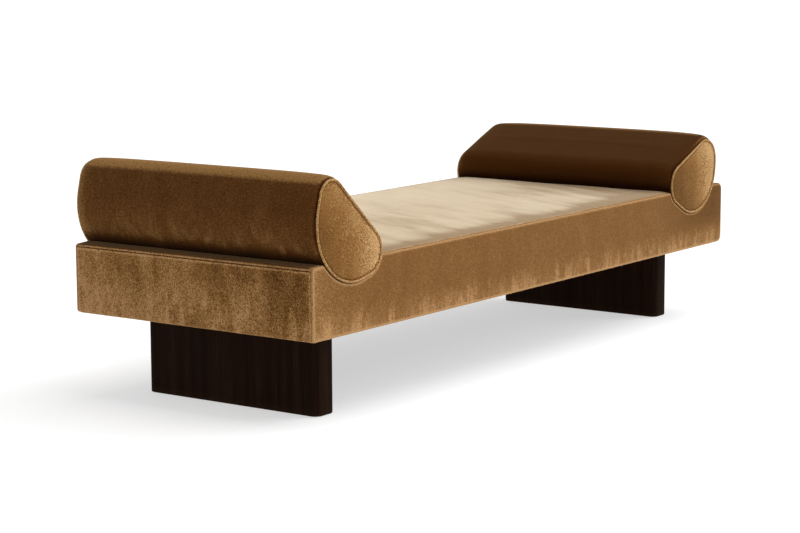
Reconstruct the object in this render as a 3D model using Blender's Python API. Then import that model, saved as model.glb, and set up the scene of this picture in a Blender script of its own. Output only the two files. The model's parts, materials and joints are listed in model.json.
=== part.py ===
"""Daybed: an upholstered block on two slab legs, with a loose bolster lying in a cradle at each end.

The row frame is +Z up with the floor at 0, X along the length and Y along the depth, and the origin
on the floor under the middle of the bed. Sizes are in metres. The left end is -X, the front is -Y.
A bolster moves straight up out of its cradle, so each hangs on an empty that marks that line.
"""

import math

import bmesh
import bpy
from mathutils import Matrix, Vector

# Whole bed
LENGTH = 2.100
DEPTH = 0.775
SEAT_HEIGHT = 0.409
UNDERSIDE = 0.224
LEFT_CORNER_RADIUS = 0.008
RIGHT_CORNER_RADIUS = 0.020

# Build-up of the upholstery
FABRIC = 0.0025
GAP = 0.0003
EDGE_FOAM = 0.017
HEM_WIDTH = 0.030
DUST_COVER_THICKNESS = 0.001
DUST_COVER_MARGIN = 0.030

# Timber frame
RAIL_THICKNESS = 0.025
RAIL_HEIGHT = 0.085
CROSS_RAIL_HEIGHT = 0.060
CROSS_RAIL_SPACING = 0.400
BEARER_WIDTH = 0.140
BEARER_THICKNESS = 0.030
CORNER_BLOCK_SIDE = 0.045
CORNER_BLOCK_HEIGHT = 0.070
CORNER_BLOCK_LIFT = 0.005

# Suspension
WEBBING_WIDTH = 0.050
WEBBING_THICKNESS = 0.002
WEBBING_PITCH = 0.140
WEBBING_COUNT = 13
LONG_WEBBING_THICKNESS = 0.0014
LONG_WEBBING_PITCH = 0.180
LONG_WEBBING_COUNT = 3
WEBBING_EDGE_MARGIN = 0.003
INSULATOR_THICKNESS = 0.0015
COMFORT_THICKNESS = 0.030
COMFORT_EDGE = 0.022

# Legs
LEG_THICKNESS = 0.078
LEG_DEPTH = 0.562
LEG_END_INSET = 0.150
LEG_CORNER_RADIUS = 0.022
LEG_FOOT_BEVEL = 0.003
LEG_LIFT = 0.0015
LEG_CUTOUT_CLEARANCE = 0.0015
FELT_WIDTH = 0.045
FELT_THICKNESS = 0.004
FELT_END_MARGIN = 0.030

# Connector bolts, three through each bearer into threaded inserts in the top of the leg
BOLT_SPACING = 0.200
BOLT_NAMES = ("front", "middle", "back")
BOLT_RADIUS = 0.0039
BOLT_HEAD_RADIUS = 0.0085
BOLT_HEAD_HEIGHT = 0.0035
BOLT_HEAD_CHAMFER = 0.0008
BOLT_LENGTH = 0.055
SOCKET_RADIUS = 0.0034
SOCKET_DEPTH = 0.0025
INSERT_RADIUS = 0.0065
INSERT_BORE = 0.0044
INSERT_LENGTH = 0.025
INSERT_FLANGE_RADIUS = 0.0085
INSERT_FLANGE_THICKNESS = 0.0015
HOLE_CLEARANCE = 0.0004
BEARER_HOLE_RADIUS = 0.0046

# Bolsters. Each cross-section is a belt drawn round three discs, given as (distance in from the end of
# the bed, height over the seat, radius): the belly, the nose towards the seat, and the crown.
LEFT_BOLSTER = ((0.168, 0.095, 0.153), (0.219, 0.012, 0.060), (0.076, 0.157, 0.0485))
RIGHT_BOLSTER = ((0.190, 0.065, 0.139), (0.270, 0.0195, 0.061), (0.116, 0.079, 0.066))

# How far the stuffing lifts each body beyond its end seams, and the height over the seat by which it
# does. Each station is (distance in from the seam, share of that lift).
LEFT_SWELL = 0.012
RIGHT_SWELL = 0.020
SWELL_HEIGHT = 0.070
SWELL_STATIONS = ((0.0, 0.0), (0.012, 0.50), (0.040, 0.85), (0.110, 1.0))
BOLSTER_OVERHANG = 0.005
CRADLE_CLEARANCE = 0.0015
CORE_CLEARANCE = 0.0025
WELT_RADIUS = 0.0033
WELT_INSET = 0.0025
CAP_THICKNESS = 0.006
CAP_CROWN = 0.009
ZIP_WIDTH = 0.024
ZIP_THICKNESS = 0.0012
ZIP_END_MARGIN = 0.040
PULLER_LENGTH = 0.028
PULLER_WIDTH = 0.008
PULLER_THICKNESS = 0.0008

# Facets
ARC_STEP = math.radians(11)
CORNER_STEPS = 5
WELT_SIDES = 8
ROUND_SIDES = 12

HALF_LENGTH = LENGTH / 2
HALF_DEPTH = DEPTH / 2
FRAME_INSET = FABRIC + GAP + EDGE_FOAM + GAP
FRAME_BOTTOM = UNDERSIDE + FABRIC + GAP
RAIL_TOP = FRAME_BOTTOM + RAIL_HEIGHT
WEBBING_BOTTOM = RAIL_TOP + GAP
INSULATOR_BOTTOM = WEBBING_BOTTOM + WEBBING_THICKNESS + GAP
FOAM_BOTTOM = INSULATOR_BOTTOM + INSULATOR_THICKNESS + GAP
RAIL_INNER_Y = HALF_DEPTH - FRAME_INSET - RAIL_THICKNESS
RAIL_INNER_X = HALF_LENGTH - FRAME_INSET - RAIL_THICKNESS
LEG_X = HALF_LENGTH - LEG_END_INSET - LEG_THICKNESS / 2
LEG_TOP = FRAME_BOTTOM - GAP
BOLSTER_HALF = HALF_DEPTH + BOLSTER_OVERHANG


# ---------------------------------------------------------------- scene and materials


def clear_scene():
    for obj in list(bpy.data.objects):
        bpy.data.objects.remove(obj)


def material(name, colour, roughness, metallic=0.0):
    made = bpy.data.materials.new(name)
    made.use_nodes = True
    shader = made.node_tree.nodes["Principled BSDF"]
    shader.inputs["Base Color"].default_value = (*colour, 1.0)
    shader.inputs["Roughness"].default_value = roughness
    shader.inputs["Metallic"].default_value = metallic
    made.diffuse_color = (*colour, 1.0)
    return made


def make_materials():
    return {
        "velvet": material("ochre_velvet", (0.27, 0.15, 0.06), 0.85),
        "leg": material("dark_stained_oak", (0.022, 0.013, 0.009), 0.45),
        "timber": material("frame_pine", (0.62, 0.45, 0.26), 0.7),
        "foam": material("seat_foam", (0.82, 0.80, 0.70), 0.95),
        "webbing": material("elastic_webbing", (0.08, 0.07, 0.06), 0.9),
        "lining": material("black_lining", (0.02, 0.02, 0.02), 0.95),
        "steel": material("zinc_plated_steel", (0.55, 0.55, 0.56), 0.35, 1.0),
        "felt": material("brown_felt", (0.10, 0.08, 0.07), 0.95),
        "zip": material("zip_tape", (0.18, 0.10, 0.05), 0.8),
    }


# ---------------------------------------------------------------- outlines in the XZ plane


def belt(discs):
    """A belt drawn tight round discs given anticlockwise as (x, z, radius), as a list of points."""
    angles = []
    for disc, following in zip(discs, discs[1:] + discs[:1]):
        run = Vector(following[:2]) - Vector(disc[:2])
        along = math.atan2(run.y, run.x)
        angles.append(along - math.acos((disc[2] - following[2]) / run.length))
    points = []
    for (x, z, radius), start, end in zip(discs, angles[-1:] + angles[:-1], angles):
        while end < start:
            end += 2 * math.pi
        steps = max(2, round((end - start) / ARC_STEP))
        points += arc(x, z, radius, start, end, steps)
    return points


def arc(x, z, radius, start, end, steps):
    return [
        (x + radius * math.cos(angle), z + radius * math.sin(angle))
        for angle in (start + (end - start) * i / steps for i in range(steps + 1))
    ]


def offset(points, distance, closed):
    """Moves a path to its left by distance, with mitred corners. A closed anticlockwise outline shrinks."""
    moved = []
    count = len(points)
    for i, point in enumerate(points):
        here = Vector(point)
        normals = []
        for a, b in ((i - 1, i), (i, i + 1)):
            if not closed and (a < 0 or b >= count):
                continue
            run = Vector(points[b % count]) - Vector(points[a % count])
            normals.append(Vector((-run.y, run.x)).normalized())
        mitre = sum(normals, Vector((0.0, 0.0))) / len(normals)
        moved.append(tuple(here + mitre * (distance / mitre.length_squared)))
    return moved


def clip_above(outline, level):
    """The part of a closed outline that lies above a height."""
    kept = []
    for i, (x, z) in enumerate(outline):
        last_x, last_z = outline[i - 1]
        if (z > level) != (last_z > level):
            share = (level - last_z) / (z - last_z)
            kept.append((last_x + share * (x - last_x), level))
        if z > level:
            kept.append((x, z))
    return kept


def bolster_outline(discs, side):
    """The bolster's outer section, anticlockwise. side is -1 at the left end and 1 at the right."""
    placed = [(side * (HALF_LENGTH - u), SEAT_HEIGHT + w, r) for u, w, r in discs]
    return belt(placed if side < 0 else placed[::-1])


def cradle_path(outline):
    """The groove that a bolster lies in, left to right, from seat level down and back up to it."""
    wide = offset(outline, -CRADLE_CLEARANCE, closed=True)
    count = len(wide)
    first = next(i for i in range(count) if wide[i][1] < SEAT_HEIGHT <= wide[i - 1][1])
    last = first
    while wide[(last + 1) % count][1] < SEAT_HEIGHT:
        last += 1
    start = level_crossing(wide[first - 1], wide[first])
    end = level_crossing(wide[last % count], wide[(last + 1) % count])
    below = [wide[i % count] for i in range(first, last + 1)]
    return [start, *(point for point in below if point[1] < SEAT_HEIGHT - 2 * FABRIC), end]


def level_crossing(a, b):
    share = (SEAT_HEIGHT - a[1]) / (b[1] - a[1])
    return (a[0] + share * (b[0] - a[0]), SEAT_HEIGHT)


def end_arcs(side, radius):
    """The rounded foot and brow of one end of the outline, both anticlockwise."""
    x, low, high = side * (HALF_LENGTH - radius), UNDERSIDE + radius, SEAT_HEIGHT - radius
    quarter = math.pi / 2
    foot_start, brow_start = (-quarter, 0) if side > 0 else (2 * quarter, quarter)
    foot = arc(x, low, radius, foot_start, foot_start + quarter, CORNER_STEPS)
    brow = arc(x, high, radius, brow_start, brow_start + quarter, CORNER_STEPS)
    return foot, brow


def cover_sections(left_cradle, right_cradle):
    """The block's outline as five runs of cloth, from the right underside hem over the top to the left."""
    right_foot, right_brow = end_arcs(1, RIGHT_CORNER_RADIUS)
    left_foot, left_brow = end_arcs(-1, LEFT_CORNER_RADIUS)
    right_hem = (right_foot[0][0] - HEM_WIDTH, UNDERSIDE)
    left_hem = (left_foot[-1][0] + HEM_WIDTH, UNDERSIDE)
    return {
        "right_end_panel": [right_hem, *right_foot, right_brow[0]],
        "right_cradle_lining": right_brow + right_cradle[::-1],
        "seat_top_panel": [right_cradle[0], left_cradle[-1]],
        "left_cradle_lining": left_cradle[::-1] + left_brow,
        "left_end_panel": [left_brow[-1], *left_foot, left_hem],
    }


def nudge(point, towards, distance):
    here = Vector(point)
    return tuple(here + (Vector(towards) - here).normalized() * distance)


def strip_outlines(sections):
    """Each run of cloth as a closed section of the fabric's thickness, with a seam gap at its ends."""
    path = []
    spans = {}
    for name, points in sections.items():
        start = max(0, len(path) - 1)
        path += points if not path else points[1:]
        spans[name] = (start, len(path) - 1)
    inner_path = offset(path, FABRIC, closed=False)
    strips = {}
    for name, (start, end) in spans.items():
        sides = []
        for line in (path, inner_path):
            run = line[start : end + 1]
            first = nudge(run[0], run[1], GAP / 2)
            last = nudge(run[-1], run[-2], GAP / 2)
            sides.append([first, *run[1:-1], last])
        strips[name] = sides[0] + sides[1][::-1]
    return strips, path


# ---------------------------------------------------------------- solids


def finish_mesh(name, mesh, surface, smooth=True):
    bmesh.ops.recalc_face_normals(mesh, faces=mesh.faces)
    data = bpy.data.meshes.new(name)
    mesh.to_mesh(data)
    mesh.free()
    if smooth:
        data.shade_smooth()
        data.set_sharp_from_angle(angle=math.radians(35))
    obj = bpy.data.objects.new(name, data)
    bpy.context.scene.collection.objects.link(obj)
    data.materials.append(surface)
    return obj


def prism(name, outline, y_low, y_high, surface):
    """An XZ outline swept along Y."""
    return loft(name, [(y_low, outline), (y_high, outline)], surface)


def loft(name, sections, surface):
    """XZ outlines with equal numbers of points, each at its own Y, joined into one solid."""
    mesh = bmesh.new()
    rings = [[mesh.verts.new((x, y, z)) for x, z in outline] for y, outline in sections]
    mesh.faces.new(rings[0])
    mesh.faces.new(rings[-1][::-1])
    for near, far in zip(rings, rings[1:]):
        for i in range(len(near)):
            mesh.faces.new((near[i - 1], far[i - 1], far[i], near[i]))
    return finish_mesh(name, mesh, surface)


def add_box(mesh, low, high):
    size = [b - a for a, b in zip(low, high)]
    centre = [(a + b) / 2 for a, b in zip(low, high)]
    place = Matrix.Translation(centre) @ Matrix.Diagonal((*size, 1.0))
    bmesh.ops.create_cube(mesh, size=1.0, matrix=place)


def box(name, low, high, surface):
    mesh = bmesh.new()
    add_box(mesh, low, high)
    return finish_mesh(name, mesh, surface, smooth=False)


def add_turned(mesh, profile, place, sides=ROUND_SIDES):
    """A closed turned solid. profile is (radius, height) up the outside, and +Z is the turning axis."""
    rings = []
    for radius, height in profile:
        if radius == 0:
            rings.append([mesh.verts.new(place @ Vector((0, 0, height)))])
            continue
        ring = []
        for i in range(sides):
            angle = 2 * math.pi * i / sides
            spot = Vector((radius * math.cos(angle), radius * math.sin(angle), height))
            ring.append(mesh.verts.new(place @ spot))
        rings.append(ring)
    for low, high in zip(rings, rings[1:]):
        for i in range(sides):
            j = (i + 1) % sides
            corners = [low[i % len(low)], low[j % len(low)], high[j % len(high)], high[i % len(high)]]
            mesh.faces.new(list(dict.fromkeys(corners)))
    for ring in (rings[0], rings[-1]):
        if len(ring) > 1:
            mesh.faces.new(ring)


def add_ring(mesh, section, place):
    """A turned ring. section is its closed outline as (radius, height)."""
    loops = []
    for radius, height in section:
        loop = []
        for i in range(ROUND_SIDES):
            angle = 2 * math.pi * i / ROUND_SIDES
            spot = Vector((radius * math.cos(angle), radius * math.sin(angle), height))
            loop.append(mesh.verts.new(place @ spot))
        loops.append(loop)
    for low, high in zip(loops, loops[1:] + loops[:1]):
        for i in range(ROUND_SIDES):
            mesh.faces.new((low[i - 1], low[i], high[i], high[i - 1]))


def copy_of(pattern, name, place):
    """Another object with the pattern's mesh, at a place of its own."""
    obj = bpy.data.objects.new(name, pattern.data)
    bpy.context.scene.collection.objects.link(obj)
    obj.location = place
    return obj


def boolean(obj, other, operation):
    """Cuts other from obj, or joins it on. other stays in the file as a wire helper."""
    other.hide_render = True
    other.display_type = "WIRE"
    step = obj.modifiers.new(f"{operation.lower()}_{other.name}", "BOOLEAN")
    step.operation = operation
    step.solver = "EXACT"
    step.object = other


def cutter(name, build, surface):
    mesh = bmesh.new()
    build(mesh)
    return finish_mesh(name, mesh, surface, smooth=False)


# ---------------------------------------------------------------- frame


def cross_rail_positions():
    return {"left": -CROSS_RAIL_SPACING, "middle": 0.0, "right": CROSS_RAIL_SPACING}


def make_frame(mats):
    """Long rails and end rails round the outside, and cross rails and leg bearers between them."""
    timber = mats["timber"]
    outer_x = HALF_LENGTH - FRAME_INSET
    outer_y = HALF_DEPTH - FRAME_INSET
    for name, side in (("front_rail", -1), ("back_rail", 1)):
        faces = sorted((side * outer_y, side * RAIL_INNER_Y))
        box(name, (-outer_x, faces[0], FRAME_BOTTOM), (outer_x, faces[1], RAIL_TOP), timber)
    reach = RAIL_INNER_Y - GAP
    for name, side in (("left_end_rail", -1), ("right_end_rail", 1)):
        faces = sorted((side * outer_x, side * RAIL_INNER_X))
        box(name, (faces[0], -reach, FRAME_BOTTOM), (faces[1], reach, RAIL_TOP), timber)
    for name, x in cross_rail_positions().items():
        low = (x - RAIL_THICKNESS / 2, -reach, FRAME_BOTTOM)
        high = (x + RAIL_THICKNESS / 2, reach, FRAME_BOTTOM + CROSS_RAIL_HEIGHT)
        box(f"cross_rail_{name}", low, high, timber)
    make_corner_blocks(timber)
    make_bearers(reach, timber)


def make_bearers(reach, timber):
    """A flat board over each leg, bored for the leg's bolts."""

    def bolt_holes(mesh):
        for x in (-LEG_X, LEG_X):
            for y in bolt_positions().values():
                place = Matrix.Translation((x, y, FRAME_BOTTOM))
                add_turned(mesh, [(BEARER_HOLE_RADIUS, -0.01), (BEARER_HOLE_RADIUS, 0.04)], place)

    holes = cutter("bearer_hole_cutter", bolt_holes, timber)
    for name, x in (("leg_bearer_left", -LEG_X), ("leg_bearer_right", LEG_X)):
        low = (x - BEARER_WIDTH / 2, -reach, FRAME_BOTTOM)
        high = (x + BEARER_WIDTH / 2, reach, FRAME_BOTTOM + BEARER_THICKNESS)
        boolean(box(name, low, high, timber), holes, "DIFFERENCE")


def make_corner_blocks(timber):
    far_x, far_y = RAIL_INNER_X - GAP, RAIL_INNER_Y - GAP
    bottom = FRAME_BOTTOM + CORNER_BLOCK_LIFT
    for x_name, sx in (("left", -1), ("right", 1)):
        for y_name, sy in (("front", -1), ("back", 1)):
            xs = sorted((sx * far_x, sx * (far_x - CORNER_BLOCK_SIDE)))
            ys = sorted((sy * far_y, sy * (far_y - CORNER_BLOCK_SIDE)))
            low = (xs[0], ys[0], bottom)
            high = (xs[1], ys[1], bottom + CORNER_BLOCK_HEIGHT)
            box(f"corner_block_{y_name}_{x_name}", low, high, timber)


# ---------------------------------------------------------------- legs


def leg_plan(grow=0.0):
    """The slab's plan with rounded corners, as (x, y) about its centre."""
    half_x, half_y = LEG_THICKNESS / 2 + grow, LEG_DEPTH / 2 + grow
    radius = LEG_CORNER_RADIUS + grow
    plan = []
    for i, (sx, sy) in enumerate(((1, 1), (-1, 1), (-1, -1), (1, -1))):
        start = i * math.pi / 2
        plan += arc(sx * (half_x - radius), sy * (half_y - radius), radius, start, start + math.pi / 2, 6)
    return plan


def add_column(mesh, plan, x, levels):
    """Stacks a plan outline at heights given as (height, inset), and closes it."""
    rings = []
    for height, shrink in levels:
        ring = offset(plan, shrink, closed=True)
        rings.append([mesh.verts.new((x + px, py, height)) for px, py in ring])
    for low, high in zip(rings, rings[1:]):
        for i in range(len(plan)):
            mesh.faces.new((low[i - 1], low[i], high[i], high[i - 1]))
    mesh.faces.new(rings[0])
    mesh.faces.new(rings[-1])


def bolt_positions():
    return dict(zip(BOLT_NAMES, (-BOLT_SPACING, 0.0, BOLT_SPACING)))


def make_leg(side_name, x, mats):
    """A slab leg, let in below for its felt strip and above for its threaded inserts."""
    mesh = bmesh.new()
    arris = 0.3 * LEG_FOOT_BEVEL
    foot = [(LEG_LIFT, LEG_FOOT_BEVEL), (LEG_LIFT + arris, arris)]
    add_column(mesh, leg_plan(), x, foot + [(LEG_LIFT + LEG_FOOT_BEVEL, 0.0), (LEG_TOP, 0.0)])
    leg = finish_mesh(f"leg_{side_name}", mesh, mats["leg"])
    felt_x, felt_y = FELT_WIDTH / 2, LEG_DEPTH / 2 - FELT_END_MARGIN

    def recesses(holes):
        pocket = INSERT_RADIUS + HOLE_CLEARANCE
        mouth = INSERT_FLANGE_RADIUS + HOLE_CLEARANCE
        floor = -INSERT_FLANGE_THICKNESS - 2 * GAP
        profile = [(pocket, -INSERT_LENGTH - 0.002), (pocket, floor), (mouth, floor), (mouth, 0.01)]
        for y in bolt_positions().values():
            add_turned(holes, profile, Matrix.Translation((x, y, LEG_TOP)))
        low = (x - felt_x - GAP, -felt_y - GAP, -0.01)
        add_box(holes, low, (x + felt_x + GAP, felt_y + GAP, FELT_THICKNESS + GAP))

    boolean(leg, cutter(f"leg_recess_cutter_{side_name}", recesses, mats["leg"]), "DIFFERENCE")
    high = (x + felt_x, felt_y, FELT_THICKNESS)
    box(f"felt_strip_{side_name}", (x - felt_x, -felt_y, 0.0), high, mats["felt"])


def make_leg_fasteners(mats):
    """Six wide-headed bolts with hexagon sockets, and the flanged inserts that they screw into."""
    bolt_mesh = bmesh.new()
    top = BOLT_HEAD_HEIGHT
    profile = [(BOLT_RADIUS, -BOLT_LENGTH), (BOLT_RADIUS, 0), (BOLT_HEAD_RADIUS, 0)]
    profile += [(BOLT_HEAD_RADIUS, top - BOLT_HEAD_CHAMFER), (BOLT_HEAD_RADIUS - BOLT_HEAD_CHAMFER, top)]
    add_turned(bolt_mesh, profile, Matrix())
    first_bolt = finish_mesh("leg_bolt_pattern", bolt_mesh, mats["steel"])

    insert_mesh = bmesh.new()
    shoulder = -INSERT_FLANGE_THICKNESS
    section = [(INSERT_RADIUS, -INSERT_LENGTH), (INSERT_RADIUS, shoulder)]
    section += [(INSERT_FLANGE_RADIUS, shoulder), (INSERT_FLANGE_RADIUS, 0)]
    section += [(INSERT_BORE, 0), (INSERT_BORE, -INSERT_LENGTH)]
    add_ring(insert_mesh, section, Matrix())
    first_insert = finish_mesh("leg_insert_pattern", insert_mesh, mats["steel"])

    head_z = FRAME_BOTTOM + BEARER_THICKNESS + GAP

    def hexagon_sockets(mesh):
        for x in (-LEG_X, LEG_X):
            for y in bolt_positions().values():
                place = Matrix.Translation((x, y, head_z + top))
                add_turned(mesh, [(SOCKET_RADIUS, -SOCKET_DEPTH), (SOCKET_RADIUS, 0.01)], place, sides=6)

    sockets = cutter("bolt_socket_cutter", hexagon_sockets, mats["steel"])
    for side_name, x in (("left", -LEG_X), ("right", LEG_X)):
        for bolt_name, y in bolt_positions().items():
            bolt = copy_of(first_bolt, f"leg_bolt_{bolt_name}_{side_name}", (x, y, head_z))
            boolean(bolt, sockets, "DIFFERENCE")
            copy_of(first_insert, f"leg_insert_{bolt_name}_{side_name}", (x, y, LEG_TOP - GAP))
    for pattern in (first_bolt, first_insert):
        bpy.data.objects.remove(pattern)


# ---------------------------------------------------------------- suspension and padding


def strap_centres(count, pitch):
    return [(i - (count - 1) / 2) * pitch for i in range(count)]


def make_suspension(mats):
    """Webbing woven across and along the top of the rails, and the felt that keeps it off the foam."""
    reach_x = HALF_LENGTH - FRAME_INSET - WEBBING_EDGE_MARGIN
    reach_y = HALF_DEPTH - FRAME_INSET - WEBBING_EDGE_MARGIN
    half = WEBBING_WIDTH / 2
    across = bmesh.new()
    for x in strap_centres(WEBBING_COUNT, WEBBING_PITCH):
        low = (x - half, -reach_y, WEBBING_BOTTOM)
        add_box(across, low, (x + half, reach_y, WEBBING_BOTTOM + WEBBING_THICKNESS))
    webbing = finish_mesh("webbing", across, mats["webbing"], smooth=False)
    along = bmesh.new()
    bottom = WEBBING_BOTTOM + (WEBBING_THICKNESS - LONG_WEBBING_THICKNESS) / 2
    for y in strap_centres(LONG_WEBBING_COUNT, LONG_WEBBING_PITCH):
        low = (-reach_x, y - half, bottom)
        add_box(along, low, (reach_x, y + half, bottom + LONG_WEBBING_THICKNESS))
    boolean(webbing, finish_mesh("webbing_along", along, mats["webbing"], smooth=False), "UNION")
    low = (-reach_x, -reach_y, INSULATOR_BOTTOM)
    box("insulator_felt", low, (reach_x, reach_y, INSULATOR_BOTTOM + INSULATOR_THICKNESS), mats["lining"])


def make_foam(outline, left_cradle, right_cradle, mats):
    """The seat foam with its two cradles, the comfort layer let into it, and foam on the rails."""
    skin = FABRIC + GAP
    section = clip_above(offset(outline, skin, closed=True), FOAM_BOTTOM)
    seat = prism("seat_foam", section, skin - HALF_DEPTH, HALF_DEPTH - skin, mats["foam"])
    low_x = left_cradle[-1][0] + COMFORT_EDGE
    high_x = right_cradle[0][0] - COMFORT_EDGE
    reach = HALF_DEPTH - skin - COMFORT_EDGE
    top = SEAT_HEIGHT - skin
    bottom = top - COMFORT_THICKNESS
    box("comfort_layer", (low_x, -reach, bottom), (high_x, reach, top), mats["foam"])

    def recess(mesh):
        low = (low_x - GAP, -reach - GAP, bottom - GAP)
        add_box(mesh, low, (high_x + GAP, reach + GAP, top + 0.01))

    boolean(seat, cutter("comfort_recess_cutter", recess, mats["foam"]), "DIFFERENCE")

    outer_x, outer_y = HALF_LENGTH - skin, HALF_DEPTH - skin
    top = FOAM_BOTTOM - GAP
    for name, side in (("left_edge_foam", -1), ("right_edge_foam", 1)):
        xs = sorted((side * outer_x, side * (outer_x - EDGE_FOAM)))
        low = (xs[0], -outer_y, UNDERSIDE + RIGHT_CORNER_RADIUS)
        box(name, low, (xs[1], outer_y, top), mats["foam"])
    reach = outer_x - EDGE_FOAM - GAP
    for name, side in (("front_edge_foam", -1), ("back_edge_foam", 1)):
        ys = sorted((side * outer_y, side * (outer_y - EDGE_FOAM)))
        box(name, (-reach, ys[0], FRAME_BOTTOM), (reach, ys[1], top), mats["foam"])


# ---------------------------------------------------------------- cover


def make_cover(strips, outline, mats):
    """Five strips of cloth over the section, and the front and back panels with their hems."""
    inner_y = HALF_DEPTH - FABRIC - GAP
    for name, section in strips.items():
        prism(name, section, -inner_y, inner_y, mats["velvet"])
    hem_x = HALF_LENGTH - RIGHT_CORNER_RADIUS - HEM_WIDTH - GAP
    for name, side in (("front_panel", -1), ("back_panel", 1)):
        ys = sorted((side * HALF_DEPTH, side * (HALF_DEPTH - FABRIC)))
        panel = prism(name, outline, ys[0], ys[1], mats["velvet"])
        hem_ys = sorted((side * (HALF_DEPTH - FABRIC / 2), side * (HALF_DEPTH - HEM_WIDTH)))
        low = (-hem_x, hem_ys[0], UNDERSIDE)
        hem = box(f"{name}_hem", low, (hem_x, hem_ys[1], UNDERSIDE + FABRIC), mats["velvet"])
        boolean(panel, hem, "UNION")


def make_dust_cover(mats):
    top = UNDERSIDE - GAP
    bottom = top - DUST_COVER_THICKNESS
    x, y = HALF_LENGTH - DUST_COVER_MARGIN, HALF_DEPTH - DUST_COVER_MARGIN / 2
    sheet = box("dust_cover", (-x, -y, bottom), (x, y, top), mats["lining"])

    def leg_cutouts(mesh):
        for leg_x in (-LEG_X, LEG_X):
            levels = [(bottom - 0.01, 0.0), (top + 0.01, 0.0)]
            add_column(mesh, leg_plan(LEG_CUTOUT_CLEARANCE), leg_x, levels)

    boolean(sheet, cutter("leg_cutout_cutter", leg_cutouts, mats["lining"]), "DIFFERENCE")


# ---------------------------------------------------------------- bolsters


def along_path(path, distance):
    """The point a distance along a path, and the path's direction there."""
    for a, b in zip(path, path[1:]):
        run = Vector(b) - Vector(a)
        if distance <= run.length:
            return Vector(a) + run.normalized() * distance, run.normalized()
        distance -= run.length
    return Vector(path[-1]), run.normalized()


def open_for_zip(outline):
    """The outline as a path that starts and ends at the zip, which lies under the belly."""
    lowest = min(range(len(outline)), key=lambda i: outline[i][1])
    ring = outline[lowest:] + outline[:lowest]
    length = sum((Vector(b) - Vector(a)).length for a, b in zip(ring, ring[1:] + ring[:1]))
    loop = ring + ring[:1]
    half_slot = ZIP_WIDTH / 2 + GAP
    path = []
    travelled = 0.0
    for a, b in zip(loop, loop[1:]):
        if half_slot < travelled < length - half_slot:
            path.append(a)
        travelled += (Vector(b) - Vector(a)).length
    start = along_path(loop, half_slot)[0]
    end = along_path(loop, length - half_slot)[0]
    return [tuple(start), *path, tuple(end)], loop[0]


def add_welt(mesh, outline, y):
    """A round cord sewn into the seam round a bolster's end."""
    line = offset(outline, WELT_INSET, closed=True)
    out = offset(outline, WELT_INSET - WELT_RADIUS, closed=True)
    rings = []
    for centre, edge in zip(line, out):
        middle = Vector((centre[0], y, centre[1]))
        outward = Vector((edge[0], y, edge[1])) - middle
        outward = outward.normalized() * WELT_RADIUS
        ring = []
        for i in range(WELT_SIDES):
            angle = 2 * math.pi * (i + 0.5) / WELT_SIDES
            spot = middle + outward * math.cos(angle)
            spot.y += WELT_RADIUS * math.sin(angle)
            ring.append(mesh.verts.new(spot))
        rings.append(ring)
    for a, b in zip(rings, rings[1:] + rings[:1]):
        for i in range(WELT_SIDES):
            mesh.faces.new((a[i - 1], a[i], b[i], b[i - 1]))


def add_cap(mesh, outline, side, inner_y):
    """A padded end panel: flat inside, and crowned outside towards its middle."""
    middle = Vector((sum(x for x, _ in outline), sum(z for _, z in outline))) / len(outline)
    edge_y = inner_y + CAP_THICKNESS
    levels = [(1.0, inner_y), (1.0, edge_y), (0.88, edge_y + CAP_CROWN * 0.55), (0.6, edge_y + CAP_CROWN)]
    rings = []
    for share, y in levels:
        spots = [middle + (Vector(point) - middle) * share for point in outline]
        rings.append([mesh.verts.new((spot.x, side * y, spot.y)) for spot in spots])
    for low, high in zip(rings, rings[1:]):
        for i in range(len(outline)):
            mesh.faces.new((low[i - 1], low[i], high[i], high[i - 1]))
    mesh.faces.new(rings[0])
    mesh.faces.new(rings[-1])


def make_zip(side_name, centre, reach, mats):
    """A zip tape in the slot under the belly, with its slider and pull at the front end."""
    bottom = centre[1] + FABRIC - ZIP_THICKNESS
    low = (centre[0] - ZIP_WIDTH / 2, -reach, bottom)
    high = (centre[0] + ZIP_WIDTH / 2, reach, bottom + ZIP_THICKNESS)
    tape = box(f"bolster_zip_{side_name}", low, high, mats["zip"])
    low = (centre[0] - PULLER_WIDTH / 2, -reach, bottom - PULLER_THICKNESS)
    high = (centre[0] + PULLER_WIDTH / 2, PULLER_LENGTH - reach, bottom + ZIP_THICKNESS / 2)
    boolean(tape, box(f"zip_pull_{side_name}", low, high, mats["steel"]), "UNION")
    return tape


def swollen(outline, middle, lift):
    """The outline pushed out from the middle by lift, fading to nothing down at the seat."""
    spots = []
    for point in outline:
        share = min(max((point[1] - SEAT_HEIGHT) / SWELL_HEIGHT, 0.0), 1.0)
        away = (Vector(point) - middle).normalized()
        spots.append(tuple(Vector(point) + away * lift * share * share * (3 - 2 * share)))
    return spots


def stuffed(name, outline, middle, swell, reach, surface):
    """A body that is drawn in at its end seams and swells between them."""
    front = [(inset - reach, swollen(outline, middle, swell * share)) for inset, share in SWELL_STATIONS]
    back = [(-y, section) for y, section in front[::-1]]
    return loft(name, front + back, surface)


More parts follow.
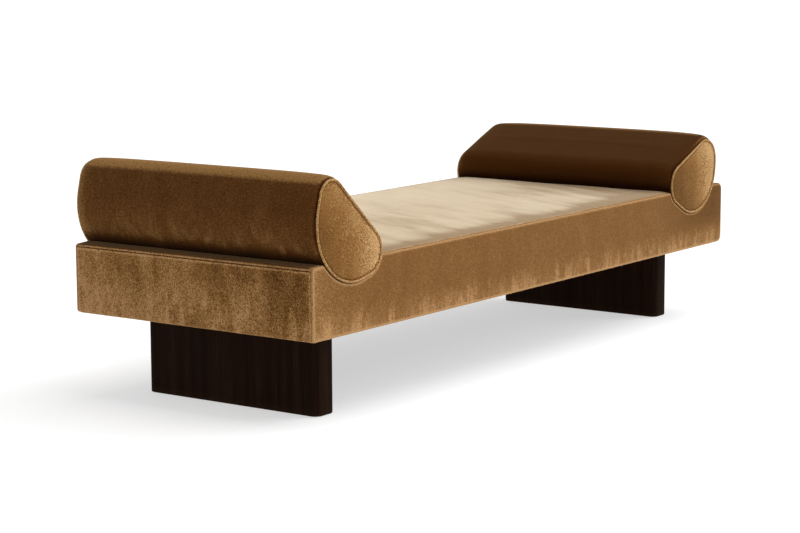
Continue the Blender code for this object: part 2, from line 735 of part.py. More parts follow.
def make_bolster(side_name, outline, middle, swell, mats):
    """A foam core, the cover's body with its zip, two padded ends and two welts, on one lifting empty."""
    welt_y = BOLSTER_HALF - WELT_RADIUS
    body_y = welt_y - WELT_RADIUS - GAP
    core = offset(outline, FABRIC + CORE_CLEARANCE, closed=True)
    name = f"bolster_core_{side_name}"
    pieces = [stuffed(name, core, middle, swell - CORE_CLEARANCE, body_y, mats["foam"])]

    path, zip_centre = open_for_zip(outline)
    section = path + offset(path, FABRIC, closed=False)[::-1]
    name = f"bolster_cover_{side_name}"
    pieces.append(stuffed(name, section, middle, swell, body_y, mats["velvet"]))

    for end_name, side in (("front", -1), ("back", 1)):
        welt = bmesh.new()
        add_welt(welt, outline, side * welt_y)
        pieces.append(finish_mesh(f"bolster_welt_{end_name}_{side_name}", welt, mats["velvet"]))
        cap = bmesh.new()
        rim = offset(outline, WELT_INSET + WELT_RADIUS + GAP, closed=True)
        add_cap(cap, rim, side, body_y + GAP)
        pieces.append(finish_mesh(f"bolster_end_{end_name}_{side_name}", cap, mats["velvet"]))

    pieces.append(make_zip(side_name, zip_centre, body_y - ZIP_END_MARGIN, mats))

    lift = bpy.data.objects.new(f"bolster_{side_name}_lift", None)
    bpy.context.scene.collection.objects.link(lift)
    lift.location = (zip_centre[0], 0.0, zip_centre[1])
    bpy.context.view_layer.update()
    for piece in pieces:
        piece.parent = lift
        piece.matrix_parent_inverse = lift.matrix_world.inverted()


# ---------------------------------------------------------------- the bed


def make_daybed():
    mats = make_materials()
    left_bolster = bolster_outline(LEFT_BOLSTER, -1)
    right_bolster = bolster_outline(RIGHT_BOLSTER, 1)
    left_cradle = cradle_path(left_bolster)
    right_cradle = cradle_path(right_bolster)
    strips, outline = strip_outlines(cover_sections(left_cradle, right_cradle))

    make_frame(mats)
    make_leg("left", -LEG_X, mats)
    make_leg("right", LEG_X, mats)
    make_leg_fasteners(mats)
    make_suspension(mats)
    make_foam(outline, left_cradle, right_cradle, mats)
    make_cover(strips, outline, mats)
    make_dust_cover(mats)
    left_middle = Vector((-HALF_LENGTH + LEFT_BOLSTER[0][0], SEAT_HEIGHT + LEFT_BOLSTER[0][1]))
    right_middle = Vector((HALF_LENGTH - RIGHT_BOLSTER[0][0], SEAT_HEIGHT + RIGHT_BOLSTER[0][1]))
    make_bolster("left", left_bolster, left_middle, LEFT_SWELL, mats)
    make_bolster("right", right_bolster, right_middle, RIGHT_SWELL, mats)


clear_scene()
make_daybed()
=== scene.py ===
"""The looks of a daybed: velvet covers over foam, two loose bolsters, stained slab legs, and the light.

Everything is in the frame's metres: +Z up, the floor at 0, the length along X and the front at -Y.
"""

import json
import math

import bmesh
import bpy
import numpy as np
from mathutils import Matrix, Vector, noise


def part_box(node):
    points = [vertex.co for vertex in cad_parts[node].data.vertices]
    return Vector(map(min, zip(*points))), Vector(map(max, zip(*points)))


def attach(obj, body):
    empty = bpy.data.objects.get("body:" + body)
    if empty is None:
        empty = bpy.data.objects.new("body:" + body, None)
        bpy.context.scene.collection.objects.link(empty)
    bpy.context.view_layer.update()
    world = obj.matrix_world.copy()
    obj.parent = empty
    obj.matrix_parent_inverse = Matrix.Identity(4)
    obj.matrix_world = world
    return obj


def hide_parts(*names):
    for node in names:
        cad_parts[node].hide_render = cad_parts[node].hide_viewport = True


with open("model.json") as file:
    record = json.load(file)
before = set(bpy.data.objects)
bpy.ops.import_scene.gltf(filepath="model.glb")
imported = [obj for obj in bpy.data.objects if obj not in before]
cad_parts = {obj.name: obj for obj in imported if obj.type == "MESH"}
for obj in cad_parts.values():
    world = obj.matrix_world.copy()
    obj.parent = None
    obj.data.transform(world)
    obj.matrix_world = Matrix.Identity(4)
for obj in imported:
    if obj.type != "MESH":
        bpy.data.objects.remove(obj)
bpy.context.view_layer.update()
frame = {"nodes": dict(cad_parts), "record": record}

# Spacing of the points along section lines, and of those where a corner is rounded
LINE_STEP = 0.002
FINE_STEP = 0.001
QUARTER_TURN = math.pi / 2
TINY = 1e-9

# The block, as its front panel and seat give it
PANEL_LOW, PANEL_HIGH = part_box("front_panel")
HALF_LENGTH = (PANEL_HIGH.x - PANEL_LOW.x) / 2
HALF_DEPTH = (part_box("back_panel")[1].y - PANEL_LOW.y) / 2
UNDERSIDE = PANEL_LOW.z
SEAT_HEIGHT = PANEL_HIGH.z
END_RADIUS = {"left": 0.008, "right": 0.020}
SIDES = {"left": -1, "right": 1}

# Bolster sections: a belt round three discs, as (distance in from the bed's end, height over the seat,
# radius), for the belly, the nose towards the seat and the crown
BOLSTER_DISCS = {
    "left": ((0.168, 0.095, 0.153), (0.219, 0.012, 0.060), (0.076, 0.157, 0.0485)),
    "right": ((0.190, 0.065, 0.139), (0.270, 0.0195, 0.061), (0.116, 0.079, 0.066)),
}
BOLSTER_SWELL = {"left": 0.0125, "right": 0.0205}
SWELL_HEIGHT = 0.070
WELT_RADIUS = 0.0030
WELT_INSET = 0.0024
SEAM_Y = (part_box("bolster_welt_back_left")[0].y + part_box("bolster_welt_back_left")[1].y) / 2
CRADLE_CLEARANCE = 0.0015

# Upholstery
EDGE_ROLL = 0.004
SEAM_DEPTH = 0.0012
SEAM_WIDTH = 0.0024
SEAM_GAP = 0.0008
RIDGE_LIFT = 0.0005
RIDGE_PLACE = 0.0040
RIDGE_WIDTH = 0.0020
PANEL_BULGE = 0.0016
CLOTH_THICKNESS = 0.0012
CREST_ROUNDING = 0.010
SEAT_TUCK = 0.030
HEM_WIDTH = 0.030
SEAT_CROWN = 0.0036
FOLD_DEPTH = 0.0030
SMALL_FOLD_DEPTH = 0.0011
SEAM_ROWS = (0.0006, 0.0007, 0.0009, 0.0012, 0.0016, 0.0022, 0.003, 0.004)
ROW_SPACING = 0.0065

# How the cover gives at the left end, and over which distances from that end it stops giving
FAR_CORNER_RADIUS = 0.016
FAR_CORNER_FADE = (0.02, 0.06)
LIP_SAG = 0.0035
LIP_FADE = (0.005, 0.055)

# Stuffing the bolsters, whose cloth stands for these parts of each
PAD_PARTS = ("core", "cover", "end_front", "end_back")
VOXEL = 0.006
SIM_INSET = 0.0020
SIM_FRAMES = 20
SIM_PRESSURE = 4.0
TUBE_SWELL = 0.0030
END_SWELL = 0.0110
PIN_REACH = 0.0050
RIPPLE = 0.0011
SLACK_TAKEN = 0.85

# Painted highlight on each bolster: the upward tilt of the surface where its light crown starts and is
# full, with its strength; and a painted lighter or darker shift of the whole body
CROWN_HIGHLIGHT = {"left": (0.60, 0.82, 0.85), "right": (0.94, 0.995, 0.6)}
BODY_LIGHT_SHIFT = {"left": 0.07, "right": -0.21}
GOLDEN_SHEEN = (1.0, 0.70, 0.38)
PALE_SHEEN = (1.0, 0.87, 0.68)
CAP_HALF_WIDTH = 0.13

# The zip under each belly, and the staples under the block
ZIP_WIDTH = 0.024
ZIP_HOLLOW = 0.0042
ZIP_TOOTH_PITCH = 0.0025
STAPLE_PITCH = 0.055

# The legs, and the room left round the felt under them
LEG_CORNER = 0.022
LEG_ARRIS = 0.003
FELT_GAP = 0.0003

# The camera and the light
SKY_STRENGTH = 0.55
FLOOR_GLOW = 0.53
FLOOR_REACH = 60
CAMERA_PLACE = Vector((-5.200, -3.606, 1.221))
CAMERA_YAW = math.radians(54.48)
CAMERA_PITCH = math.radians(8.78)
CAMERA_ROLL = math.radians(-0.26)
CAMERA_LENS = 100.3


# ---------------------------------------------------------------- lines in the XZ plane


def arc(x, z, radius, start, end, step=LINE_STEP):
    count = max(3, math.ceil(abs(end - start) * radius / step))
    angle = np.linspace(start, end, count + 1)
    return np.stack([x + radius * np.cos(angle), z + radius * np.sin(angle)], axis=1)


def belt(discs):
    """A belt drawn tight round discs given anticlockwise as (x, z, radius)."""
    leaving = []
    for disc, following in zip(discs, discs[1:] + discs[:1]):
        run = Vector(following[:2]) - Vector(disc[:2])
        leaving.append(math.atan2(run.y, run.x) - math.acos((disc[2] - following[2]) / run.length))
    arcs = []
    for (x, z, radius), start, end in zip(discs, leaving[-1:] + leaving[:-1], leaving):
        while end < start:
            end += 2 * math.pi
        arcs.append(arc(x, z, radius, start, end))
    return np.concatenate(arcs)


def lengths(path):
    """The distance along a path at each of its points."""
    steps = np.linalg.norm(np.diff(path, axis=0), axis=1)
    return np.concatenate([[0.0], np.cumsum(steps)])


def points_at(path, distances):
    along = lengths(path)
    return np.stack([np.interp(distances, along, path[:, k]) for k in (0, 1)], axis=1)


def even(path, spacing, closed=False):
    """The path with points at an even spacing. A closed one doesn't repeat its first point."""
    whole = np.concatenate([path, path[:1]]) if closed else path
    total = lengths(whole)[-1]
    count = max(2, round(total / spacing))
    return points_at(whole, np.linspace(0, total, count + 1)[: count if closed else None])


def outward(path, closed=False):
    """Unit normals to the right of travel, which is outwards on an anticlockwise outline."""
    if closed:
        run = np.roll(path, -1, axis=0) - np.roll(path, 1, axis=0)
    else:
        run = np.gradient(path, axis=0)
    normal = np.stack([run[:, 1], -run[:, 0]], axis=1)
    return normal / np.linalg.norm(normal, axis=1, keepdims=True)


def grown(outline, distance):
    """A closed outline moved outwards by a distance."""
    dense = even(outline, LINE_STEP, closed=True)
    return dense + outward(dense, closed=True) * distance


def smoothed(path, centre, reach):
    """Rounds the corner of a path at centre, over a distance on each side of it."""
    dense = even(path, FINE_STEP)
    along = lengths(dense)
    corner = along[np.argmin(np.linalg.norm(dense - np.array(centre), axis=1))]
    window = np.clip(1 - np.abs(along - corner) / (1.6 * reach), 0, 1)
    for _ in range(2):
        dense = averaged(dense, window * reach / 2)
    return dense


def averaged(path, radius):
    """Each point replaced by the mean of its neighbours within its own radius."""
    sums = np.concatenate([np.zeros((1, 2)), np.cumsum(path, axis=0)])
    index = np.arange(len(path))
    reach = np.round(radius / FINE_STEP).astype(int)
    reach = np.minimum(reach, np.minimum(index, len(path) - 1 - index))
    low, high = index - reach, index + reach + 1
    return (sums[high] - sums[low]) / (high - low)[:, None]


def bolster_outline(side_name):
    side = SIDES[side_name]
    discs = tuple((side * (HALF_LENGTH - u), SEAT_HEIGHT + w, r) for u, w, r in BOLSTER_DISCS[side_name])
    return even(belt(discs if side < 0 else discs[::-1]), LINE_STEP, closed=True)


def cradle_line(outline):
    """The groove under a bolster, from its left crest at seat level to its right one."""
    wide = grown(outline, CRADLE_CLEARANCE)
    below = wide[:, 1] < SEAT_HEIGHT
    first = next(i for i in range(len(wide)) if below[i] and not below[i - 1])
    wide = np.roll(wide, -first, axis=0)
    groove = wide[: int(np.argmin(wide[:, 1] < SEAT_HEIGHT))]
    ends = groove[[0, -1]].copy()
    ends[:, 1] = SEAT_HEIGHT
    return np.concatenate([ends[:1], groove, ends[1:]])


def end_arcs(side_name):
    """The rounded foot and brow of one end of the block, both anticlockwise."""
    side, radius = SIDES[side_name], END_RADIUS[side_name]
    x = side * (HALF_LENGTH - radius)
    foot, brow = (-QUARTER_TURN, 0) if side > 0 else (2 * QUARTER_TURN, QUARTER_TURN)
    return (
        arc(x, UNDERSIDE + radius, radius, foot, foot + QUARTER_TURN, FINE_STEP),
        arc(x, SEAT_HEIGHT - radius, radius, brow, brow + QUARTER_TURN, FINE_STEP),
    )


def cover_lines(cradles):
    """The block's outline as five runs of cloth, in order from the right hem over the top to the left one.
    The seat's run reaches a little way into each cradle."""
    right_foot, right_brow = end_arcs("right")
    left_foot, left_brow = end_arcs("left")
    right, left = cradles["right"][::-1], cradles["left"][::-1]
    right_run = smoothed(np.concatenate([right_brow, right]), right[0], CREST_ROUNDING)
    left_run = smoothed(np.concatenate([left, left_brow]), left[-1], CREST_ROUNDING)
    tucked = 1 + round(SEAT_TUCK / LINE_STEP)
    top = np.concatenate([right[-tucked:], left[:tucked]])
    top = smoothed(smoothed(top, right[-1], CREST_ROUNDING), left[0], CREST_ROUNDING)
    return {
        "right_end_panel": np.concatenate([right_foot[:1] - [HEM_WIDTH, 0], right_foot, right_brow[:1]]),
        "right_cradle_lining": cut_back(right_run, 0, SEAT_TUCK),
        "seat_top_panel": top,
        "left_cradle_lining": cut_back(left_run, SEAT_TUCK, 0),
        "left_end_panel": np.concatenate([left_brow[-1:], left_foot, left_foot[-1:] + [HEM_WIDTH, 0]]),
    }


def cut_back(path, start, end):
    """The path without its first and last stretches."""
    total = lengths(path)[-1]
    count = round((total - start - end) / FINE_STEP)
    return points_at(path, np.linspace(start, total - end, count))


# ---------------------------------------------------------------- smooth shapes


def smoothstep(low, high, value):
    share = np.clip((value - low) / (high - low), 0, 1)
    return share * share * (3 - 2 * share)


def bell(value, centre, width):
    """1 at the centre, and falling away smoothly on both sides."""
    return np.exp(-(((value - centre) / width) ** 2))


def rise(value, width):
    """0 at 0, and levelling off at 1."""
    return 1 - np.exp(-value / width)


def wave(*coords, seed=0.0):
    """Smooth noise from -1 to 1 at each set of coordinates, already scaled to its own wavelength."""
    flat = np.broadcast_arrays(*coords)
    third = flat[2] if len(flat) > 2 else np.zeros_like(flat[0])
    spots = zip(flat[0].ravel(), flat[1].ravel(), third.ravel())
    values = [noise.noise(Vector((a, b, c + seed))) for a, b, c in spots]
    return np.array(values).reshape(flat[0].shape)


def spaced(total, spacing):
    """Places from 0 to total, close together at both ends."""
    edge = np.concatenate([[0.0], np.cumsum(SEAM_ROWS)])
    count = max(1, round((total - 2 * edge[-1]) / spacing))
    middle = np.linspace(edge[-1], total - edge[-1], count + 1)
    return np.concatenate([edge[:-1], middle, (total - edge[:-1])[::-1]])


def seam_profile(distance):
    """How far cloth stands proud near a seam: it rises to a small raised roll and then dives into the seam.
    """
    dive = SEAM_DEPTH * (1 - smoothstep(0, SEAM_WIDTH, distance))
    return RIDGE_LIFT * bell(distance, RIDGE_PLACE, RIDGE_WIDTH) - dive


def settle(points):
    """How the cover gives at the left end: the lip sags a little, and the back corners draw in."""
    from_end = points[..., 0] + HALF_LENGTH
    at_lip = smoothstep(SEAT_HEIGHT - 0.09, SEAT_HEIGHT - 0.005, points[..., 2])
    points[..., 2] -= LIP_SAG * (1 - smoothstep(*LIP_FADE, from_end)) * at_lip
    radius = FAR_CORNER_RADIUS
    weight = 1 - smoothstep(*FAR_CORNER_FADE, from_end)
    for level, sign in ((SEAT_HEIGHT, -1), (UNDERSIDE, 1)):
        a = radius - (HALF_DEPTH - points[..., 1])
        b = radius - sign * (points[..., 2] - level)
        reach = np.hypot(a, b)
        over = (a > 0) & (b > 0) & (reach > radius)
        pull = np.where(over, (1 - radius / np.maximum(reach, TINY)) * weight, 0)
        points[..., 1] -= a * pull
        points[..., 2] += sign * b * pull
    return points


# ---------------------------------------------------------------- meshes


def add_object(name, data):
    made = bpy.data.objects.new(name, data)
    bpy.context.scene.collection.objects.link(made)
    return made


def new_piece(name, verts, faces, *materials):
    data = bpy.data.meshes.new(name)
    data.from_pydata([tuple(v) for v in verts], [], [tuple(f) for f in faces])
    data.update()
    data.shade_smooth()
    for surface in materials:
        data.materials.append(surface)
    return add_object(name, data)


def grid_faces(rows, columns):
    """Quads of a grid whose points are numbered row by row."""
    index = np.arange(rows * columns).reshape(rows, columns)
    corners = (index[:-1, :-1], index[:-1, 1:], index[1:, 1:], index[1:, :-1])
    return np.stack([c.ravel() for c in corners], axis=1)


def ring_faces(rings, count):
    """Faces of a closed body whose points are numbered ring by ring."""
    faces = []
    for first in range(0, (rings - 1) * count, count):
        for i in range(count):
            j = (i + 1) % count
            faces.append((first + i, first + j, first + count + j, first + count + i))
    last = range(rings * count - 1, (rings - 1) * count - 1, -1)
    return faces + [tuple(range(count)), tuple(last)]


def mark(piece, name, values):
    """Stores one number at each point, which a material reads by name."""
    attribute = piece.data.attributes.new(name, "FLOAT", "POINT")
    attribute.data.foreach_set("value", np.asarray(values, np.float32).ravel())


def open_mesh(piece):
    mesh = bmesh.new()
    mesh.from_mesh(piece.data)
    return mesh


def close_mesh(mesh, piece):
    mesh.to_mesh(piece.data)
    mesh.free()
    piece.data.update()


def face_outwards(piece):
    mesh = open_mesh(piece)
    bmesh.ops.remove_doubles(mesh, verts=mesh.verts, dist=1e-6)
    bmesh.ops.recalc_face_normals(mesh, faces=mesh.faces)
    close_mesh(mesh, piece)


def give_thickness(piece):
    """Turns a sheet of cloth into a closed shell that reaches inwards from its face."""
    shell = piece.modifiers.new("cloth_thickness", "SOLIDIFY")
    shell.thickness = CLOTH_THICKNESS
    shell.offset = -1
    shell.use_even_offset = False
    apply_modifiers(piece)


def apply_modifiers(piece):
    graph = bpy.context.evaluated_depsgraph_get()
    final = bpy.data.meshes.new_from_object(piece.evaluated_get(graph))
    old = piece.data
    piece.modifiers.clear()
    piece.data = final
    final.name = piece.name
    bpy.data.meshes.remove(old)
    return piece


def join_into(piece, *others):
    """Adds other meshes to a piece as further closed bodies of it."""
    mesh = open_mesh(piece)
    for other in others:
        mesh.from_mesh(other.data)
        bpy.data.objects.remove(other)
    close_mesh(mesh, piece)
    piece.data.shade_smooth()


# ---------------------------------------------------------------- node helpers


class Nodes:
    """A node tree whose nodes are added one after another."""

    def __init__(self, tree):
        self.tree = tree

    def plug(self, value, socket):
        """Links another socket to this one, or sets it to a value."""
        if isinstance(value, bpy.types.NodeSocket):
            self.tree.links.new(value, socket)
        else:
            socket.default_value = value

    def feed(self, made, **inputs):
        """Plugs a node's inputs by name, with _ for a space."""
        for key, value in inputs.items():
            self.plug(value, made.inputs[key.replace("_", " ")])

    def add(self, kind, **settings):
        made = self.tree.nodes.new(kind)
        for key, value in settings.items():
            setattr(made, key, value)
        return made

    def node(self, kind, **inputs):
        """Adds a node with its inputs, and gives its outputs. Settings come as a dict named use."""
        made = self.add(kind, **inputs.pop("use", {}))
        self.feed(made, **inputs)
        return made.outputs

    def math(self, operation, a, b=0.0, clamp=False):
        made = self.add("ShaderNodeMath", operation=operation, use_clamp=clamp)
        self.plug(a, made.inputs[0])
        self.plug(b, made.inputs[1])
        return made.outputs["Value"]

    def centred(self, value):
        """A value from 0 to 1 as a swing to both sides of 0."""
        return self.math("SUBTRACT", value, 0.5)

    def weighted(self, start, *terms):
        """start plus each value times its weight."""
        total = start
        for value, weight in terms:
            total = self.math("ADD", total, self.math("MULTIPLY", value, weight))
        return total


class Shader(Nodes):
    """A material with one surface, and patterns that lie in object coordinates."""

    def __init__(self, name):
        self.material = bpy.data.materials.new(name)
        self.material.use_nodes = True
        super().__init__(self.material.node_tree)
        self.surface = self.tree.nodes["Principled BSDF"]
        self.place = self.node("ShaderNodeTexCoord")["Object"]

    def noise(self, scale, detail=2.0, stretch=(1, 1, 1), turn=(0, 0, 0), roughness=0.5, distortion=0.0):
        """Noise in coordinates that are turned and then scaled, so that it can run aslant."""
        aslant = self.add("ShaderNodeMapping", vector_type="TEXTURE")
        self.feed(aslant, Vector=self.place, Scale=tuple(1 / k for k in stretch), Rotation=turn)
        made = self.add("ShaderNodeTexNoise")
        self.feed(made, Vector=aslant.outputs["Vector"], Scale=scale, Detail=detail)
        self.feed(made, Roughness=roughness, Distortion=distortion)
        return made.outputs["Fac"]

    def spread(self, value, low, high, to_low=0.0, to_high=1.0):
        """A value's range from low to high, eased onto another range."""
        made = self.add("ShaderNodeMapRange", interpolation_type="SMOOTHSTEP")
        self.feed(made, Value=value, From_Min=low, From_Max=high, To_Min=to_low, To_Max=to_high)
        return made.outputs["Result"]

    def blend(self, factor, first, second):
        """One colour turning into another, given as a link and a plain colour."""
        made = self.add("ShaderNodeMix", data_type="RGBA")
        share, start, end = (made.inputs[k] for k in (0, 6, 7))
        self.plug(factor, share)
        self.plug(first, start)
        self.plug((*second, 1.0), end)
        return made.outputs[2]

    def ramp(self, factor, *stops):
        """A colour ramp from stops given as (place, colour)."""
        made = self.add("ShaderNodeValToRGB")
        elements = made.color_ramp.elements
        while len(elements) < len(stops):
            elements.new(0.5)
        for element, (position, colour) in zip(elements, stops):
            element.position = position
            element.color = (*colour, 1.0)
        self.feed(made, Fac=factor)
        return made.outputs["Color"]

    def height(self, axis="Z"):
        return self.node("ShaderNodeSeparateXYZ", Vector=self.place)[axis]

    def attribute(self, name):
        return self.node("ShaderNodeAttribute", use={"attribute_name": name})["Fac"]

    def bump(self, height, strength, distance):
        made = self.node("ShaderNodeBump", Height=height, Strength=strength, Distance=distance)
        self.feed(self.surface, Normal=made["Normal"])

    def finish(self, **inputs):
        self.feed(self.surface, **inputs)
        return self.material


# ---------------------------------------------------------------- velvet


def velvet(
    name, shades, sheen, grain, mottle, streak=0.0, foot=(), across=0.0, folds=0.0, tint=GOLDEN_SHEEN
):
    """Mohair velvet in three shades: deep, middle and light. Its lightness is a number from 0, deep, to 1,
    light, built from a fine grain, soft crushed patches, upright streaks over a foot given as its low and
    high levels, lighter marks of rubbed pile and painted highlight, and painted shade. Marked pile is
    grainier."""
    s = Shader(name)
    fine = s.noise(310, roughness=0.6)
    coarse = s.noise(170, roughness=0.6)
    patches = s.noise(11, detail=4.0, distortion=0.6)
    brushed = s.noise(9, detail=4.0, stretch=(2.6, 2.6, 0.55), distortion=0.3)
    ridge = s.attribute("ridge")
    speckle = s.weighted(0.0, (s.centred(fine), 3.2), (s.centred(coarse), 0.35))
    marked_grain = s.math("MULTIPLY", speckle, s.math("MAXIMUM", ridge, 0.0))
    # The stored marks lighten for rubbed pile and painted highlights, and darken for painted shade
    lightness = s.weighted(
        0.5,
        (speckle, grain),
        (marked_grain, 0.7),
        (s.centred(patches), mottle),
        (s.centred(brushed), mottle),
        (ridge, 0.55),
        (s.attribute("crease"), -0.7),
    )
    if streak:
        combed = s.noise(32, detail=5.0, stretch=(1.0, 1.0, 0.24), roughness=0.66, distortion=0.6)
        near_foot = s.spread(s.height(), foot[1], foot[0])
        crushed = s.math("MULTIPLY", s.spread(combed, 0.40, 0.74), near_foot)
        rough = s.math("MULTIPLY", speckle, crushed)
        lightness = s.weighted(lightness, (crushed, streak), (rough, streak), (near_foot, 0.15 * streak))
    if across:
        lightness = s.weighted(lightness, (s.height("Y"), across))
    # Aslant bands on the seat: partly pile brushed aslant, partly painted shade of its folds
    if folds:
        aslant = (0, 0, math.radians(-24))
        drawn = s.noise(13, detail=3.0, stretch=(1.4, 0.24, 1), turn=aslant, distortion=0.4)
        lightness = s.weighted(lightness, (s.centred(drawn), folds))
    lightness = s.math("ADD", lightness, 0.0, clamp=True)
    pile = s.weighted(0.0, (fine, 1.0), (coarse, 0.7))
    s.bump(pile, 0.35 + 0.3 * grain, 0.0007)
    return s.finish(
        Base_Color=s.ramp(lightness, *zip((0.05, 0.5, 0.95), shades)),
        Roughness=0.92,
        Specular_IOR_Level=0.03,
        Sheen_Weight=sheen,
        Sheen_Roughness=0.36,
        Sheen_Tint=(*tint, 1.0),
    )


def velvets():
    """One cloth in lighter and darker copies, painted for how the light and the sheen fall on each panel."""
    # Painted light and shade: the bolster tubes darkest, the caps lighter, the seat palest under the light's
    # sheen
    tube = ((0.024, 0.0065, 0.0010), (0.066, 0.0225, 0.0040), (0.25, 0.130, 0.042))
    face = ((0.062, 0.0225, 0.0045), (0.172, 0.077, 0.0210), (0.40, 0.225, 0.096))
    end = (face[0], (0.188, 0.086, 0.0245), face[2])
    cap = ((0.085, 0.0320, 0.0065), (0.220, 0.102, 0.0265), (0.54, 0.335, 0.150))
    seat = ((0.230, 0.128, 0.046), (0.55, 0.430, 0.282), (0.66, 0.545, 0.390))
    at_hem = {"streak": 0.52, "foot": (UNDERSIDE - 0.008, UNDERSIDE + 0.080)}
    on_skirt = {"streak": 0.40, "foot": (UNDERSIDE, UNDERSIDE + 0.170), "across": 0.36}
    at_belly = {"streak": 0.20, "foot": (SEAT_HEIGHT + 0.010, SEAT_HEIGHT + 0.145)}
    drawn = {"folds": 1.0, "tint": PALE_SHEEN}
    return {
        "left_tube": velvet("velvet_left_bolster", tube, sheen=0.14, grain=0.12, mottle=0.10, **at_belly),
        "right_tube": velvet("velvet_right_bolster", tube, sheen=0.14, grain=0.10, mottle=0.08),
        "cap": velvet("velvet_bolster_end", cap, sheen=0.45, grain=0.40, mottle=0.25),
        "welt": velvet("velvet_welt", cap, sheen=0.4, grain=0.3, mottle=0.2),
        "end": velvet("velvet_end_panel", end, sheen=0.35, grain=0.55, mottle=0.6, **on_skirt),
        "front": velvet("velvet_long_panel", face, sheen=0.35, grain=0.20, mottle=0.12, **at_hem),
        "seat": velvet("velvet_seat", seat, sheen=0.7, grain=0.08, mottle=0.14, **drawn),
        "lining": velvet("velvet_cradle", face, sheen=0.3, grain=0.5, mottle=0.3),
    }


# ---------------------------------------------------------------- other finishes


def stained_oak():
    s = Shader("dark_stained_oak")
    pores = s.noise(60, detail=4.0, stretch=(5.5, 5.5, 0.16), roughness=0.62, distortion=0.25)
    bands = s.noise(14, detail=3.0, stretch=(2.4, 2.4, 0.07), distortion=0.4)
    colour = s.ramp(
        s.weighted(0.0, (pores, 0.6), (bands, 0.5)),
        (0.35, (0.0055, 0.0018, 0.0006)),
        (0.55, (0.0120, 0.0048, 0.0022)),
        (0.78, (0.0250, 0.0110, 0.0055)),
    )
    worn = s.blend(s.attribute("ridge"), colour, (0.034, 0.017, 0.009))
    s.bump(s.spread(pores, 0.35, 0.65), 0.3, 0.0004)
    return s.finish(
        Base_Color=worn, Roughness=s.spread(pores, 0.3, 0.7, 0.5, 0.68), Specular_IOR_Level=0.02
    )


def pine():
    s = Shader("planed_pine")
    rings = s.noise(22, detail=3.0, stretch=(0.18, 2.2, 2.2), distortion=1.1)
    fibres = s.noise(160, stretch=(0.1, 3, 3))
    tone = s.weighted(0.0, (rings, 0.75), (fibres, 0.25))
    colour = s.ramp(tone, (0.3, (0.72, 0.50, 0.27)), (0.5, (0.62, 0.41, 0.20)), (0.72, (0.44, 0.26, 0.11)))
    s.bump(fibres, 0.2, 0.0004)
    return s.finish(Base_Color=colour, Roughness=0.68)


def foam():
    s = Shader("open_cell_foam")
    cell = s.node("ShaderNodeTexVoronoi", Vector=s.place, Scale=650)["Distance"]
    s.bump(cell, 0.5, 0.0008)
    colour = s.ramp(cell, (0.1, (0.60, 0.57, 0.44)), (0.6, (0.86, 0.83, 0.70)))
    return s.finish(Base_Color=colour, Roughness=0.95)


def woven(name, dark, light, pitch):
    """A plain weave, read as two crossing sets of threads."""
    s = Shader(name)
    threads = []
    for axis in ("X", "Y"):
        threads.append(s.math("SINE", s.math("MULTIPLY", s.height(axis), 2 * math.pi / pitch)))
    over = s.spread(s.math("MULTIPLY", *threads), -1, 1)
    fuzz = s.noise(900, detail=1.0)
    s.bump(over, 0.5, pitch / 5)
    colour = s.ramp(s.weighted(0.0, (over, 0.7), (fuzz, 0.3)), (0.2, dark), (0.8, light))
    return s.finish(Base_Color=colour, Roughness=0.9)


def fleece(name, dark, light, scale):
    """Pressed or spun-bonded fibre, such as felt and dust-cover cloth."""
    s = Shader(name)
    fibres = s.noise(scale, detail=4.0, roughness=0.7, distortion=1.5)
    clumps = s.noise(scale / 14)
    s.bump(fibres, 0.4, 0.0004)
    colour = s.ramp(s.weighted(0.0, (fibres, 0.7), (clumps, 0.3)), (0.3, dark), (0.7, light))
    return s.finish(Base_Color=colour, Roughness=0.95, Sheen_Weight=0.15)


def zinc():
    s = Shader("zinc_plate")
    cloud = s.noise(90, detail=3.0)
    scratches = s.noise(300, stretch=(1, 1, 0.1))
    colour = s.ramp(cloud, (0.3, (0.46, 0.46, 0.47)), (0.7, (0.66, 0.66, 0.65)))
    return s.finish(Base_Color=colour, Roughness=s.spread(scratches, 0.3, 0.7, 0.24, 0.42), Metallic=1.0)


# ---------------------------------------------------------------- block cover


def stretch_of_cloth(name, path, spacing, surface, relief, shade):
    """One run of cloth along a line of the section, from the front seam to the back one."""
    reach = HALF_DEPTH - EDGE_ROLL - SEAM_GAP
    total = lengths(path)[-1]
    along = spaced(total, spacing)
    across = spaced(2 * reach, ROW_SPACING)
    spots = points_at(path, along)
    normal = outward(spots)
    x = np.repeat(spots[:, :1], len(across), axis=1)
    z = np.repeat(spots[:, 1:], len(across), axis=1)
    y = np.repeat((across - reach)[None], len(along), axis=0)
    to_side = np.minimum(across, 2 * reach - across)[None]
    to_end = np.minimum(along, total - along)[:, None]
    edge = np.minimum(to_side, to_end)
    lift = seam_profile(to_side) + seam_profile(to_end) + relief(x, y, z, edge)
    points = settle(np.stack([x + normal[:, :1] * lift, y, z + normal[:, 1:] * lift], axis=-1))
    piece = new_piece(name, points.reshape(-1, 3), grid_faces(len(along), len(across)), surface)
    # Lighter along the seam ridges, partly pile spread over the roll and partly a painted highlight; painted
    # shade down in the seam, plus the panel's own painted light and shade
    mark(piece, "ridge", 0.9 * bell(edge, 0.0035, 0.0026))
    mark(piece, "crease", 1.2 * bell(edge, 0, 0.0014) + shade(x, y, z, edge))
    if normals_point_in(piece, normal, len(across)):
        piece.data.flip_normals()
    give_thickness(piece)
    return piece


def normals_point_in(piece, normal, columns):
    """Whether the sheet's middle face looks away from the line's outward side."""
    face = piece.data.polygons[len(piece.data.polygons) // 2]
    row = face.vertices[0] // columns
    return face.normal.x * normal[row, 0] + face.normal.z * normal[row, 1] < 0


